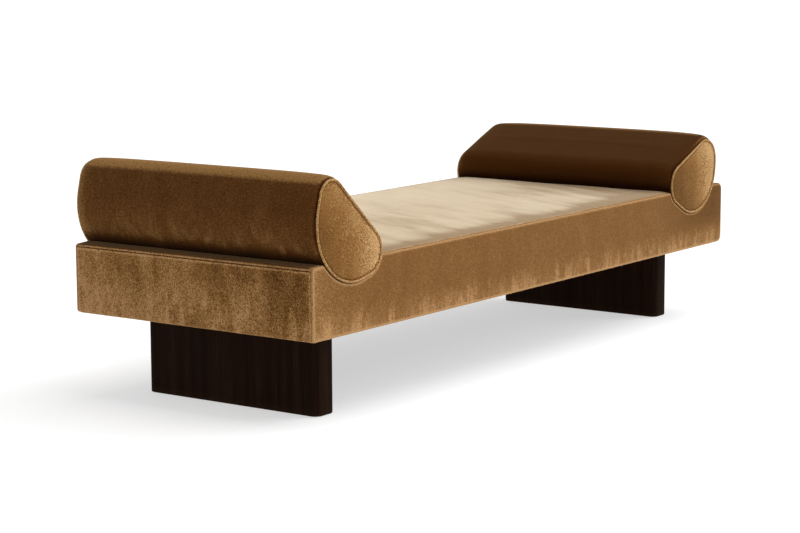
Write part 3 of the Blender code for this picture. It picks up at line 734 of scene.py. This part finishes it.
def seat_relief(x, y, z, edge):
    """The seat's soft crown, and folds that run from back to front and slant to the left at the front."""
    front = (HALF_DEPTH - y) / (2 * HALF_DEPTH)
    drawn = x + 2 * HALF_DEPTH * (0.08 * front + 0.24 * front**2)
    calm = smoothstep(0.004, 0.05, edge)
    deep = wave(drawn * 15, y * 1.6, seed=3.1) * FOLD_DEPTH
    small = wave(drawn * 40, y * 2.4, seed=8.7) * SMALL_FOLD_DEPTH
    strength = 0.7 + 0.7 * wave(x * 2.2, y * 2.5, seed=5.0)
    crown = SEAT_CROWN * rise(edge, 0.024) - 0.0010 * np.exp(-edge / 0.010)
    return crown + calm * strength * (deep + small)


def seat_shade(x, y, z, edge):
    """Painted shade along the seat's front edge and beside the right bolster, and painted light that makes
    it paler behind.
    """
    ragged = 1 + 0.5 * wave((x + 0.5 * y) * 9, y * 2, seed=12.0)
    front_edge_shade = bell(y, -HALF_DEPTH, 0.070 * ragged)
    right_bolster_shade = smoothstep(0.36, 0.86, x - 0.4 * y)
    far_side_light = smoothstep(-0.05, 0.30, y)
    return 1.05 * front_edge_shade + 0.75 * right_bolster_shade - 0.35 * far_side_light


def end_relief(x, y, z, edge):
    """Foam under the end panel: nearly flat, with slight unevenness."""
    return 0.0006 * smoothstep(0, 0.02, edge) * wave(y * 9, z * 12, seed=1.3)


def lining_relief(x, y, z, edge):
    """A cradle lining lies tight in its groove, so that only the lip over the end is uneven."""
    on_lip = smoothstep(SEAT_HEIGHT - 0.012, SEAT_HEIGHT - 0.001, z)
    return on_lip * 0.0005 * wave(x * 20, y * 14, seed=2.2) * smoothstep(0, 0.01, edge)


def no_shade(x, y, z, edge):
    return np.zeros_like(x)


def lip_shade(x, y, z, edge):
    """Painted shade on the flat of the lip, under the bolster."""
    return 0.55 * smoothstep(SEAT_HEIGHT - 0.016, SEAT_HEIGHT - 0.006, z) * smoothstep(0.004, 0.008, edge)


def outline_of(lines):
    """The five runs, which come in order, as one closed outline, anticlockwise."""
    return np.concatenate(list(lines.values()))


def long_panel(name, outline, side, surface):
    """The front or back panel: upright columns between the block's underside and its top line, with the
    cloth rolled over the edge all round and tucked into the seam."""
    top, bottom = split_top_and_bottom(outline)
    x = panel_columns(top)
    high = np.interp(x, top[:, 0], top[:, 1])
    low = np.interp(x, bottom[:, 0], bottom[:, 1])
    share = panel_rows()
    z = low[:, None] + (high - low)[:, None] * share[None]
    x = np.repeat(x[:, None], len(share), axis=1)
    rim = np.concatenate([np.stack([x[:, 0], low], 1), np.stack([x[:, 0], high], 1)[::-1]])
    edge = distance_to(rim, np.stack([x, z], axis=-1).reshape(-1, 2)).reshape(z.shape)
    inside = np.maximum(EDGE_ROLL - edge, 0)
    roll = EDGE_ROLL - np.sqrt(np.maximum(EDGE_ROLL**2 - inside**2, 0))
    swell = PANEL_BULGE * rise(np.maximum(edge - EDGE_ROLL, 0), 0.035)
    uneven = 0.0006 * smoothstep(0.004, 0.03, edge) * wave(x * 7, z * 10, seed=4.0 + side)
    y = side * (HALF_DEPTH - roll + swell + uneven)
    points = np.stack([x, y, z], axis=-1).reshape(-1, 3)
    ring = boundary_ring(*z.shape)
    tucked, folded = tuck_in(points, ring, side)
    faces = list(grid_faces(*z.shape)) + folded
    places = np.concatenate([points, tucked])
    piece = new_piece(name, settle(places.copy()), faces, surface)
    edges = np.concatenate([edge.ravel(), np.zeros(len(tucked))])
    left_corner = np.exp(-(places[:, 0] + HALF_LENGTH) / 0.09)
    # Lighter along the rolled edge: partly pile spread over the roll, partly a painted highlight; grainier
    # near the left end
    mark(piece, "ridge", bell(edges, 0.0036, 0.0028) + 0.25 * left_corner)
    # Painted shade in the seam's tuck, and painted shadow towards the right end under the right bolster
    in_seam = np.arange(len(places)) >= len(places) - len(ring)
    raised = smoothstep(UNDERSIDE + 0.03, UNDERSIDE + 0.10, places[:, 2])
    right_bolster_shade = smoothstep(0.60, 1.0, places[:, 0]) * raised
    mark(piece, "crease", in_seam + 0.37 * right_bolster_shade)
    align_normals(piece, side)
    give_thickness(piece)
    join_into(piece, hem_strip(name, side, surface))
    return piece


def tuck_in(points, ring, side):
    """Points and faces that carry a long panel's rim on into its seam."""
    rim = points[ring][:, [0, 2]]
    normal = outward(rim, closed=True)
    tucked, faces = [], []
    last = ring
    for lift, inwards in ((0.0003, 0.0005), (-0.0002, 0.0011), (-SEAM_DEPTH, 0.0015)):
        level = side * (HALF_DEPTH - EDGE_ROLL - inwards)
        following = len(points) + len(tucked) + np.arange(len(ring))
        tucked += [(x, level, z) for x, z in rim + normal * lift]
        faces += [(last[i - 1], last[i], following[i], following[i - 1]) for i in range(len(ring))]
        last = following
    return np.array(tucked), faces


def hem_strip(name, side, surface):
    """The cloth turned under the long rail and stapled there."""
    reach = HALF_LENGTH - max(END_RADIUS.values()) - HEM_WIDTH - 0.001
    x = np.linspace(-reach, reach, 320)
    y = side * np.linspace(HALF_DEPTH - EDGE_ROLL + 0.001, HALF_DEPTH - HEM_WIDTH, 8)
    x, y = np.meshgrid(x, y, indexing="ij")
    z = UNDERSIDE + 0.0002 + 0.0002 * wave(x * 30, y * 30, seed=9.0)
    points = np.stack([x, y, z], axis=-1).reshape(-1, 3)
    hem = new_piece(f"{name}_hem", points, grid_faces(*x.shape), surface)
    for look in ("ridge", "crease"):
        mark(hem, look, np.zeros(len(points)))
    if hem.data.polygons[0].normal.z > 0:
        hem.data.flip_normals()
    give_thickness(hem)
    return hem


def split_top_and_bottom(outline):
    """The outline's upper and lower lines, both from left to right with x rising."""
    divide = UNDERSIDE + 0.045
    upper = outline[outline[:, 1] > divide]
    lower = outline[outline[:, 1] <= divide]
    return [part[np.argsort(part[:, 0], kind="stable")] for part in (upper, lower)]


def panel_columns(top):
    """Column places: close together at the ends and where the top line is steep."""
    left, right = top[0, 0], top[-1, 0]
    edge = np.array([0, 0.0003, 0.0008, 0.0015, 0.0025, 0.004, 0.006, 0.0085, 0.0115, 0.015, 0.019])
    dense = even(top, LINE_STEP)
    along = lengths(dense)
    steep = np.abs(np.gradient(dense[:, 1])) > 0.0002
    spacing = np.where(steep, 0.003, 0.0075)
    marks = np.cumsum(np.concatenate([[0], np.diff(along) / spacing[1:]]))
    middle = np.interp(np.interp(np.arange(0, marks[-1]), marks, along), along, dense[:, 0])
    keep = middle[(middle > left + 0.022) & (middle < right - 0.022)]
    return np.concatenate([left + edge, keep, (right - edge)[::-1]])


def panel_rows():
    """Shares of the height, close together at the bottom and the top."""
    fine = np.array([0, 0.0006, 0.0013, 0.0021, 0.003, 0.004, 0.0052, 0.007, 0.010, 0.014, 0.019])
    tall = SEAT_HEIGHT - UNDERSIDE
    middle = np.linspace(0.026, tall - 0.026, 18)
    return np.concatenate([fine, middle, tall - fine[::-1]]) / tall


def boundary_ring(rows, columns):
    """The grid's boundary points in order round it."""
    index = np.arange(rows * columns).reshape(rows, columns)
    parts = (index[:-1, 0], index[-1, :-1], index[:0:-1, -1], index[0, :0:-1])
    return np.concatenate(parts)


def distance_to(loop, points):
    """The distance from each point to a closed line."""
    starts, ends = loop, np.roll(loop, -1, axis=0)
    run = ends - starts
    squared = np.maximum((run**2).sum(1), TINY**2)
    best = np.empty(len(points))
    for chunk in np.array_split(np.arange(len(points)), max(1, len(points) // 2000)):
        gap = points[chunk][:, None] - starts[None]
        share = np.clip((gap * run[None]).sum(2) / squared[None], 0, 1)
        off = gap - run[None] * share[..., None]
        best[chunk] = np.sqrt((off**2).sum(2).min(1))
    return best


def align_normals(piece, side):
    """Turns the whole sheet so that its flat face looks out along side."""
    mesh = open_mesh(piece)
    bmesh.ops.recalc_face_normals(mesh, faces=mesh.faces)
    mesh.faces.ensure_lookup_table()
    if side * sum(face.normal.y * face.calc_area() for face in mesh.faces) < 0:
        bmesh.ops.reverse_faces(mesh, faces=mesh.faces)
    close_mesh(mesh, piece)


def make_block(cloth):
    outlines = {name: bolster_outline(name) for name in SIDES}
    lines = cover_lines({name: cradle_line(outline) for name, outline in outlines.items()})
    finishes = {
        "right_end_panel": ("end", 0.006, end_relief, no_shade),
        "right_cradle_lining": ("lining", 0.005, lining_relief, no_shade),
        "seat_top_panel": ("seat", 0.0055, seat_relief, seat_shade),
        "left_cradle_lining": ("lining", 0.005, lining_relief, lip_shade),
        "left_end_panel": ("end", 0.006, end_relief, no_shade),
    }
    panels = {}
    for name, (key, spacing, relief, shade) in finishes.items():
        panels[name] = stretch_of_cloth(f"velvet_{name}", lines[name], spacing, cloth[key], relief, shade)
    outline = outline_of(lines)
    for name, side in (("front_panel", -1), ("back_panel", 1)):
        panels[name] = long_panel(f"velvet_{name}", outline, side, cloth["front"])
    for name, piece in panels.items():
        dress(piece, "base", "upholstery_velvet", name)
    return outlines


def press_foam():
    """The foam that gives with its cover: under the left lip, and at the far corners of the left end."""
    for node in ("seat_foam", "left_edge_foam", "back_edge_foam"):
        block = frame["nodes"][node]
        verts = np.array([block.matrix_world @ v.co for v in block.data.vertices], float)
        faces = [tuple(face.vertices) for face in block.data.polygons]
        piece = new_piece(f"pressed_{node}", settle(verts), faces, *block.data.materials)
        piece.data.shade_flat()
        dress(piece, "base", "upholstery_foam", node)


def dress(piece, body, slot, *nodes):
    """Puts a piece on its body and hides the CAD nodes it stands for; the slot of its finish is not used."""
    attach(piece, body)
    if nodes:
        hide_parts(*nodes)


# ---------------------------------------------------------------- bolsters


def swell_share(inset):
    """How much of the swell a body has reached at a distance in from its end seam."""
    return 0.68 * rise(inset, 0.010) + 0.32 * rise(inset, 0.075)


def swell_height(z):
    return smoothstep(SEAT_HEIGHT, SEAT_HEIGHT + SWELL_HEIGHT, z)


def pad_shape(name, outline, middle, swell):
    """A closed body, drawn in at its end seams and wider between them."""
    ring = even(grown(outline, -SIM_INSET), 0.005, closed=True)
    away = ring - middle
    away /= np.linalg.norm(away, axis=1, keepdims=True)
    insets = np.array([0, 0.003, 0.007, 0.012, 0.020, 0.032, 0.050, 0.080, 0.130, 0.200])
    verts = []
    for y in np.concatenate([insets - SEAM_Y, (SEAM_Y - insets)[::-1]]):
        lift = swell * swell_share(SEAM_Y - abs(y)) * swell_height(ring[:, 1])
        verts += [(x, y, z) for x, z in ring + away * lift[:, None]]
    piece = new_piece(name, verts, ring_faces(2 * len(insets), len(ring)))
    face_outwards(piece)
    return piece


def remeshed(piece):
    step = piece.modifiers.new("even_grid", "REMESH")
    step.mode = "VOXEL"
    step.voxel_size = VOXEL
    return apply_modifiers(piece)


def coordinates(piece):
    values = np.empty(len(piece.data.vertices) * 3, np.float32)
    piece.data.vertices.foreach_get("co", values)
    return values.reshape(-1, 3).astype(float)


def set_coordinates(piece, points):
    piece.data.vertices.foreach_set("co", np.asarray(points, np.float32).ravel())
    piece.data.update()


def stuff(piece, pinned, limit):
    """Blows the cover up with cloth simulation, held at its seams, and caps how far each point moves."""
    start = coordinates(piece)
    group = piece.vertex_groups.new(name="seams")
    group.add([int(i) for i in np.flatnonzero(pinned)], 1.0, "REPLACE")
    cloth = piece.modifiers.new("stuffing", "CLOTH")
    cloth.settings.quality = 5
    cloth.settings.use_pressure = True
    cloth.settings.uniform_pressure_force = SIM_PRESSURE
    cloth.settings.vertex_group_mass = "seams"
    cloth.settings.effector_weights.gravity = 0
    cloth.collision_settings.use_collision = False
    cloth.point_cache.frame_start = 1
    cloth.point_cache.frame_end = SIM_FRAMES
    for step in range(1, SIM_FRAMES + 1):
        bpy.context.scene.frame_set(step)
    graph = bpy.context.evaluated_depsgraph_get()
    move = coordinates(piece.evaluated_get(graph)) - start
    bpy.context.scene.frame_set(1)
    piece.modifiers.clear()
    piece.vertex_groups.clear()
    size = np.linalg.norm(move, axis=1)
    allowed = limit * np.tanh(size / limit)
    set_coordinates(piece, start + move * (allowed / np.maximum(size, TINY))[:, None])


def level_with_outline(points, outline):
    """Signed distance of each point outside the outline, and the outward direction there."""
    loop = grown(outline, 0)
    normal = outward(loop, closed=True)
    nearest = np.empty(len(points), int)
    for chunk in np.array_split(np.arange(len(points)), max(1, len(points) // 4000)):
        gap = points[chunk][:, None, [0, 2]] - loop[None]
        nearest[chunk] = (gap**2).sum(2).argmin(1)
    gap = points[:, [0, 2]] - loop[nearest]
    return (gap * normal[nearest]).sum(1), normal[nearest]


def make_bolster(side_name, outline, cloth):
    """A stuffed body with crowned ends, and a welt in each end seam."""
    body = f"bolster_{side_name}"
    swell = BOLSTER_SWELL[side_name]
    belly = BOLSTER_DISCS[side_name][0]
    middle = np.array([SIDES[side_name] * (HALF_LENGTH - belly[0]), SEAT_HEIGHT + belly[1]])
    piece = remeshed(pad_shape(f"bolster_pad_{side_name}", outline, middle, swell))
    points = coordinates(piece)
    to_rim = distance_to(grown(outline, -SIM_INSET), points[:, [0, 2]])
    on_end = (np.abs(points[:, 1]) > SEAM_Y - 0.35 * VOXEL) & (to_rim > 0.4 * VOXEL)
    pinned = (SEAM_Y - np.abs(points[:, 1]) < PIN_REACH) & (to_rim < PIN_REACH)
    limit = np.where(on_end, END_SWELL, TUBE_SWELL)
    stuff(piece, pinned, limit)
    finish_pad(piece, side_name, outline, middle, cloth)
    dress(piece, body, "upholstery_velvet", *[f"bolster_{part}_{side_name}" for part in PAD_PARTS])
    for end_name, side in (("front", -1), ("back", 1)):
        welt = make_welt(f"welt_{end_name}_{side_name}", outline, side * SEAM_Y, cloth["welt"])
        dress(welt, body, "upholstery_velvet", f"bolster_welt_{end_name}_{side_name}")


def meet_welt(points, outline):
    """Draws the cloth beside each end seam in to the middle of its welt. Gives each point's new distance
    outside the outline and in from the seam."""
    proud, normal = level_with_outline(points, outline)
    inset = SEAM_Y - np.abs(points[:, 1])
    over = proud + WELT_INSET
    kept = 0.25 + 0.75 * smoothstep(0.004, 0.013, np.hypot(inset, over))
    points[:, [0, 2]] -= normal * (over * (1 - kept))[:, None]
    points[:, 1] += np.sign(points[:, 1]) * inset * (1 - kept)
    return over * kept - WELT_INSET, inset * kept


def fill_out(points, swell, outline):
    """Pushes slack cloth out to the body's swell, and keeps it clear of its cradle and its zip."""
    inset = np.maximum(SEAM_Y - np.abs(points[:, 1]), 0)
    tube = smoothstep(0.002, 0.010, inset)
    proud, normal = level_with_outline(points, outline)
    high = swell_height(points[:, 2])
    most = high * (swell * swell_share(inset) + 0.003) + 0.0006
    off_zip = np.abs(points[:, 0] - outline[outline[:, 1].argmin(), 0])
    at_zip = (points[:, 2] < SEAT_HEIGHT) * smoothstep(ZIP_WIDTH / 2 + 0.004, ZIP_WIDTH / 2, off_zip)
    at_zip *= smoothstep(0.030, 0.040, inset)
    most -= ZIP_HOLLOW * at_zip
    excess = np.maximum(proud - most, 0)
    pulls = wave(points[:, 1] * 24 + 3 * points[:, 2], points[:, 2] * 3, points[:, 0] * 3, seed=6.0)
    belly = 1 - smoothstep(SEAT_HEIGHT + 0.03, SEAT_HEIGHT + 0.12, points[:, 2])
    free = 0.15 + 0.85 * smoothstep(0, 0.03, points[:, 2] - SEAT_HEIGHT)
    ripple = RIPPLE * tube * belly * free * pulls
    slack = np.maximum(high * swell * swell_share(inset) - proud, 0) * high
    points[:, [0, 2]] += normal * (ripple + (SLACK_TAKEN * slack - excess) * tube)[:, None]


def finish_pad(piece, side_name, outline, middle, cloth):
    """Refines the blown form, sorts its faces by panel and marks its painted highlights and painted shade.
    """
    finer = piece.modifiers.new("finer", "SUBSURF")
    finer.levels = finer.render_levels = 1
    apply_modifiers(piece)
    points = coordinates(piece)
    fill_out(points, BOLSTER_SWELL[side_name], outline)
    proud, inset = meet_welt(points, outline)
    set_coordinates(piece, points)
    data = piece.data
    data.shade_smooth()
    data.materials.clear()
    data.materials.append(cloth[f"{side_name}_tube"])
    data.materials.append(cloth["cap"])
    over = proud + WELT_INSET
    on_cap = [sum(inset[v] + over[v] for v in face.vertices) < 0 for face in data.polygons]
    data.polygons.foreach_set("material_index", np.array(on_cap, np.int32))
    normal = np.array([v.normal[:] for v in data.vertices])
    facing = np.abs(normal[:, 1])
    on_tube = 1 - smoothstep(0.4, 0.7, facing)
    # Painted highlight where the tube faces upwards, and a painted golden rim beside the far end seam
    start, full, strength = CROWN_HIGHLIGHT[side_name]
    top_highlight = strength * smoothstep(start, full, normal[:, 2])
    far_rim_highlight = 0.9 * np.exp(-np.maximum(inset, 0) / 0.014) * (points[:, 1] > 0)
    # Painted light across each cap, mostly lighter towards +X, and the body's painted shift
    x, z = ((points[:, [0, 2]] - middle) / CAP_HALF_WIDTH).T
    cap_light = 0.55 * np.clip(0.9 * x + 0.77 * z, -1, 1) + 0.4 * np.clip(x, 0, 1) + 0.3 * np.clip(-z, 0, 1)
    cap_light *= smoothstep(0.5, 0.8, facing)
    mark(piece, "ridge", np.maximum(top_highlight, far_rim_highlight) * on_tube + cap_light + BODY_LIGHT_SHIFT[side_name])
    # Painted shade beside the end seams, and a painted shadow band where the tube meets the seat
    from_seam = np.maximum(np.hypot(inset, over) - 0.003, 0)
    rest_shadow = 0.7 * bell(points[:, 2], SEAT_HEIGHT, 0.020) * on_tube
    mark(piece, "crease", 0.9 * bell(from_seam, 0, 0.0025) + rest_shadow)


# ---------------------------------------------------------------- Geometry Nodes


class Growth(Nodes):
    """A geometry tree with one named input for each size, a material input and perhaps an object input."""

    def __init__(self, name, sizes, pattern=None):
        super().__init__(bpy.data.node_groups.new(name, "GeometryNodeTree"))
        self.add_socket("Geometry", "Geometry")
        for label, value in sizes.items():
            self.add_socket(label, "Float").default_value = value
        self.add_socket("Material", "Material")
        if pattern:
            self.add_socket(pattern, "Object")
        self.add_socket("Geometry", "Geometry", "OUTPUT")
        self.given = self.add("NodeGroupInput").outputs

    def add_socket(self, label, kind, in_out="INPUT"):
        return self.tree.interface.new_socket(label, in_out=in_out, socket_type=f"NodeSocket{kind}")

    def close(self, geometry):
        """Leads a geometry through the material to the tree's result."""
        real = self.node("GeometryNodeRealizeInstances", Geometry=geometry)["Geometry"]
        painted = self.node("GeometryNodeSetMaterial", Geometry=real, Material=self.given["Material"])
        self.node("NodeGroupOutput", Geometry=painted["Geometry"])
        return self.tree


def piping_tree():
    """A round cord along a line of edges, with small uneven gathers."""
    g = Growth("piping", {"Radius": 0.003, "Gather": 0.0003, "Gathers per metre": 90.0})
    line = g.node("GeometryNodeMeshToCurve", Mesh=g.given["Geometry"])["Curve"]
    steps = g.node("GeometryNodeResampleCurve", use={"mode": "LENGTH"}, Curve=line, Length=0.004)["Curve"]
    ring = g.node("GeometryNodeCurvePrimitiveCircle", Resolution=12, Radius=g.given["Radius"])["Curve"]
    cord = g.node("GeometryNodeCurveToMesh", Curve=steps, Profile_Curve=ring)["Mesh"]
    rough = g.node("ShaderNodeTexNoise", Scale=g.given["Gathers per metre"])["Fac"]
    size = g.math("MULTIPLY", g.centred(rough), g.given["Gather"])
    normal = g.node("GeometryNodeInputNormal")["Normal"]
    move = g.node("ShaderNodeVectorMath", use={"operation": "SCALE"}, Vector=normal, Scale=size)["Vector"]
    gathered = g.node("GeometryNodeSetPosition", Geometry=cord, Offset=move)["Geometry"]
    return g.close(g.node("GeometryNodeSetShadeSmooth", Geometry=gathered)["Geometry"])


def repeat_tree(name, pattern, spacing):
    """Copies of a pattern object along a line of edges, turned to follow it."""
    g = Growth(name, {"Spacing": spacing}, pattern)
    line = g.node("GeometryNodeMeshToCurve", Mesh=g.given["Geometry"])["Curve"]
    dots = g.node("GeometryNodeCurveToPoints", use={"mode": "LENGTH"}, Curve=line, Length=g.given["Spacing"])
    source = g.node("GeometryNodeObjectInfo", Object=g.given[pattern])["Geometry"]
    copies = g.node(
        "GeometryNodeInstanceOnPoints", Points=dots["Points"], Instance=source, Rotation=dots["Rotation"]
    )
    return g.close(copies["Instances"])


def grow(piece, tree, surface, **sizes):
    """Runs a tree on a piece and keeps the result as its mesh."""
    step = piece.modifiers.new(tree.name, "NODES")
    step.node_group = tree
    sockets = {s.name: s.identifier for s in tree.interface.items_tree if s.in_out == "INPUT"}
    for label, value in sizes.items():
        step[sockets[label.replace("_", " ")]] = value
    step[sockets["Material"]] = surface
    apply_modifiers(piece)


def line_piece(name, points, closed=False):
    data = bpy.data.meshes.new(name)
    count = len(points)
    edges = [(i, (i + 1) % count) for i in range(count if closed else count - 1)]
    data.from_pydata([tuple(p) for p in points], edges, [])
    return add_object(name, data)


def make_welt(name, outline, y, surface):
    ring = even(grown(outline, -WELT_INSET), 0.004, closed=True)
    welt = line_piece(name, [(px, y, pz) for px, pz in ring], closed=True)
    grow(welt, TREES["piping"], surface, Radius=WELT_RADIUS, Gather=0.0005, Gathers_per_metre=110.0)
    face_outwards(welt)
    welt.data.shade_smooth()
    mark(welt, "ridge", np.full(len(welt.data.vertices), 0.35))
    mark(welt, "crease", np.zeros(len(welt.data.vertices)))
    return welt


# ---------------------------------------------------------------- zips and staples


def rounded_box(name, low, high, bevel):
    piece = box_piece(name, Vector(low), Vector(high))
    soften = piece.modifiers.new("arris", "BEVEL")
    soften.width = bevel
    soften.segments = 1
    apply_modifiers(piece)
    piece.data.shade_smooth()
    return piece


def make_zip(side_name, outline):
    """A woven tape with a coil of teeth, and a slider with its pull at the front end."""
    low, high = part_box(f"bolster_zip_{side_name}")
    centre = outline[outline[:, 1].argmin(), 0]
    face = low.z + 0.0008
    tape = rounded_box(
        f"zip_tape_{side_name}",
        (centre - ZIP_WIDTH / 2, low.y, face),
        (centre + ZIP_WIDTH / 2, high.y, face + 0.0010),
        0.0003,
    )
    tape.data.materials.append(TAPE)
    tooth = rounded_box("tooth", (-0.0026, -0.0006, -0.0005), (0.0026, 0.0006, 0.0006), 0.0002)
    row = [(centre, low.y + 0.002, face), (centre, high.y - 0.002, face)]
    teeth = line_piece(f"zip_teeth_{side_name}", row)
    grow(teeth, TREES["teeth"], ZINC, Spacing=ZIP_TOOTH_PITCH, Tooth=tooth)
    bpy.data.objects.remove(tooth)
    front = low.y + 0.010
    body = ((-0.0048, front, face - 0.0016), (0.0048, front + 0.011, face + 0.0006), 0.0009)
    loop = ((-0.0016, front + 0.003, face - 0.0024), (0.0016, front + 0.009, face - 0.0014), 0.0004)
    pull = ((-0.0032, front + 0.008, face - 0.0022), (0.0032, front + 0.030, face - 0.0014), 0.0004)
    parts = []
    for k, (corner, opposite, bevel) in enumerate((body, loop, pull)):
        shift = Vector((centre, 0, 0))
        parts.append(rounded_box(f"slider_{k}", Vector(corner) + shift, Vector(opposite) + shift, bevel))
    slider = parts[0]
    slider.name = f"zip_slider_{side_name}"
    join_into(slider, *parts[1:])
    slider.data.materials.append(ZINC)
    dress(tape, f"bolster_{side_name}", "zip_tape", f"bolster_zip_{side_name}")
    dress(teeth, f"bolster_{side_name}", "fastener_steel")
    dress(slider, f"bolster_{side_name}", "fastener_steel")


def make_staples():
    """One row of staples near the edge of the dust cover."""
    low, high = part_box("dust_cover")
    margin, z = 0.006, low.z
    x, y = high.x - margin, high.y - margin
    staple = rounded_box("staple", (-0.0005, -0.0052, -0.0005), (0.0005, 0.0052, 0.0004), 0.0002)
    rows = line_piece("dust_cover_staples", [(-x, -y, z), (x, -y, z), (x, y, z), (-x, y, z)], closed=True)
    grow(rows, TREES["staples"], ZINC, Spacing=STAPLE_PITCH, Staple=staple)
    bpy.data.objects.remove(staple)
    dress(rows, "base", "fastener_steel")


# ---------------------------------------------------------------- legs


def make_leg(side_name, surface):
    """A slab with rounded upright corners and a softened foot, let in for its felt strip."""
    low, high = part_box(f"leg_{side_name}")
    centre = (low + high) / 2
    half = (high - low) / 2
    corner, arris, gap = LEG_CORNER, LEG_ARRIS, FELT_GAP
    plan = []
    for i, (sx, sy) in enumerate(((1, 1), (-1, 1), (-1, -1), (1, -1))):
        turn = (i * QUARTER_TURN, (i + 1) * QUARTER_TURN)
        bend = arc(sx * (half.x - corner), sy * (half.y - corner), corner, *turn)
        plan.append(even(bend, corner * QUARTER_TURN / 10))
    plan = np.concatenate(plan)
    normal = outward(plan, closed=True)
    bends = np.linspace(0, QUARTER_TURN, 6)
    heights = [(low.z + arris - arris * math.cos(a), arris * (1 - math.sin(a))) for a in bends]
    heights += [(z, 0.0) for z in np.linspace(low.z + 0.02, high.z, 8)]
    verts = []
    for z, inset in heights:
        verts += [(x, y, z) for x, y in plan - normal * inset + [centre.x, centre.y]]
    leg = new_piece(f"oak_leg_{side_name}", verts, ring_faces(len(heights), len(plan)), surface)
    face_outwards(leg)
    felt_low, felt_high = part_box(f"felt_strip_{side_name}")
    pocket = box_piece("pocket", felt_low - Vector((gap, gap, 0.01)), felt_high + Vector((gap, gap, gap)))
    cut = leg.modifiers.new("felt_pocket", "BOOLEAN")
    cut.operation = "DIFFERENCE"
    cut.object = pocket
    apply_modifiers(leg)
    bpy.data.objects.remove(pocket)
    leg.data.shade_smooth()
    leg.data.set_sharp_from_angle(angle=math.radians(40))
    mark(leg, "ridge", 0.7 * bell(coordinates(leg)[:, 2], low.z, 0.003))
    dress(leg, "base", "stained_legs", f"leg_{side_name}")


def box_piece(name, low, high):
    mesh = bmesh.new()
    place = Matrix.Translation((low + high) / 2) @ Matrix.Diagonal((*(high - low), 1.0))
    bmesh.ops.create_cube(mesh, size=1.0, matrix=place)
    piece = add_object(name, bpy.data.meshes.new(name))
    close_mesh(mesh, piece)
    return piece


# ---------------------------------------------------------------- carried-over nodes


def paint_nodes(finishes):
    """Gives each shown CAD node the finish of its slot in the record."""
    slots = {part["node"]: part["material_slot"] for part in frame["record"]["subparts"]}
    for name, node in frame["nodes"].items():
        node.data.materials.clear()
        node.data.materials.append(finishes[slots[name]])


# ---------------------------------------------------------------- studio


def make_camera():
    """A camera turned by its yaw from +Y towards +X, then pitched down, then rolled."""
    level = Vector((math.sin(CAMERA_YAW), math.cos(CAMERA_YAW), 0))
    ahead = level * math.cos(CAMERA_PITCH) - Vector((0, 0, math.sin(CAMERA_PITCH)))
    right = Vector((math.cos(CAMERA_YAW), -math.sin(CAMERA_YAW), 0))
    up = right.cross(ahead)
    tilted_right = right * math.cos(CAMERA_ROLL) + up * math.sin(CAMERA_ROLL)
    tilted_up = up * math.cos(CAMERA_ROLL) - right * math.sin(CAMERA_ROLL)
    turn = Matrix((tilted_right, tilted_up, -ahead)).transposed().to_4x4()
    camera = add_object("camera", bpy.data.cameras.new("camera"))
    camera.data.lens = CAMERA_LENS
    camera.data.sensor_width = 36
    camera.data.clip_end = 500
    camera.matrix_world = Matrix.Translation(CAMERA_PLACE) @ turn
    bpy.context.scene.camera = camera


def make_floor():
    reach = FLOOR_REACH
    corners = [(-reach, -reach, 0), (reach, -reach, 0), (reach, reach, 0), (-reach, reach, 0)]
    s = Shader("pale_floor")
    tone = s.ramp(s.noise(2.0), (0.3, (0.54, 0.54, 0.54)), (0.7, (0.56, 0.56, 0.56)))
    s.finish(Base_Color=tone, Roughness=0.9, Specular_IOR_Level=0.0)
    lit = s.finish(Emission_Color=(1, 1, 1, 1), Emission_Strength=FLOOR_GLOW)
    new_piece("floor", corners, [(0, 1, 2, 3)], lit)


def soft_sun(name, direction, strength, spread):
    light = add_object(name, bpy.data.lights.new(name, "SUN"))
    light.data.energy = strength
    light.data.angle = math.radians(spread)
    light.rotation_euler = Vector(direction).to_track_quat("-Z", "Y").to_euler()


def light_studio():
    world = bpy.data.worlds.new("studio")
    world.use_nodes = True
    sky = world.node_tree.nodes["Background"]
    sky.inputs["Color"].default_value = (1, 1, 1, 1)
    sky.inputs["Strength"].default_value = SKY_STRENGTH
    bpy.context.scene.world = world
    soft_sun("overhead", (-0.28, 0.30, -1), 1.5, 50)
    soft_sun("key", (-0.85, 0.62, -0.55), 1.5, 40)


# ---------------------------------------------------------------- the bed

bpy.context.scene.view_settings.view_transform = "Standard"
make_camera()
make_floor()
light_studio()

CLOTH = velvets()
OAK = stained_oak()
ZINC = zinc()
TAPE = woven("zip_tape", (0.05, 0.024, 0.010), (0.13, 0.066, 0.030), 0.0012)
TREES = {
    "piping": piping_tree(),
    "teeth": repeat_tree("zip_teeth", "Tooth", ZIP_TOOTH_PITCH),
    "staples": repeat_tree("staple_row", "Staple", STAPLE_PITCH),
}

paint_nodes(
    {
        "upholstery_velvet": CLOTH["lining"],
        "upholstery_foam": foam(),
        "stained_legs": OAK,
        "frame_timber": pine(),
        "fastener_steel": ZINC,
        "elastic_webbing": woven("elastic_webbing", (0.02, 0.018, 0.016), (0.12, 0.11, 0.10), 0.003),
        "black_lining": fleece("dust_cover_cloth", (0.008, 0.008, 0.008), (0.035, 0.034, 0.034), 380),
        "floor_felt": fleece("pressed_felt", (0.05, 0.04, 0.035), (0.13, 0.11, 0.10), 520),
        "zip_tape": TAPE,
    }
)
outlines = make_block(CLOTH)
press_foam()
for side_name in SIDES:
    make_bolster(side_name, outlines[side_name], CLOTH)
    make_zip(side_name, outlines[side_name])
    make_leg(side_name, OAK)
make_staples()
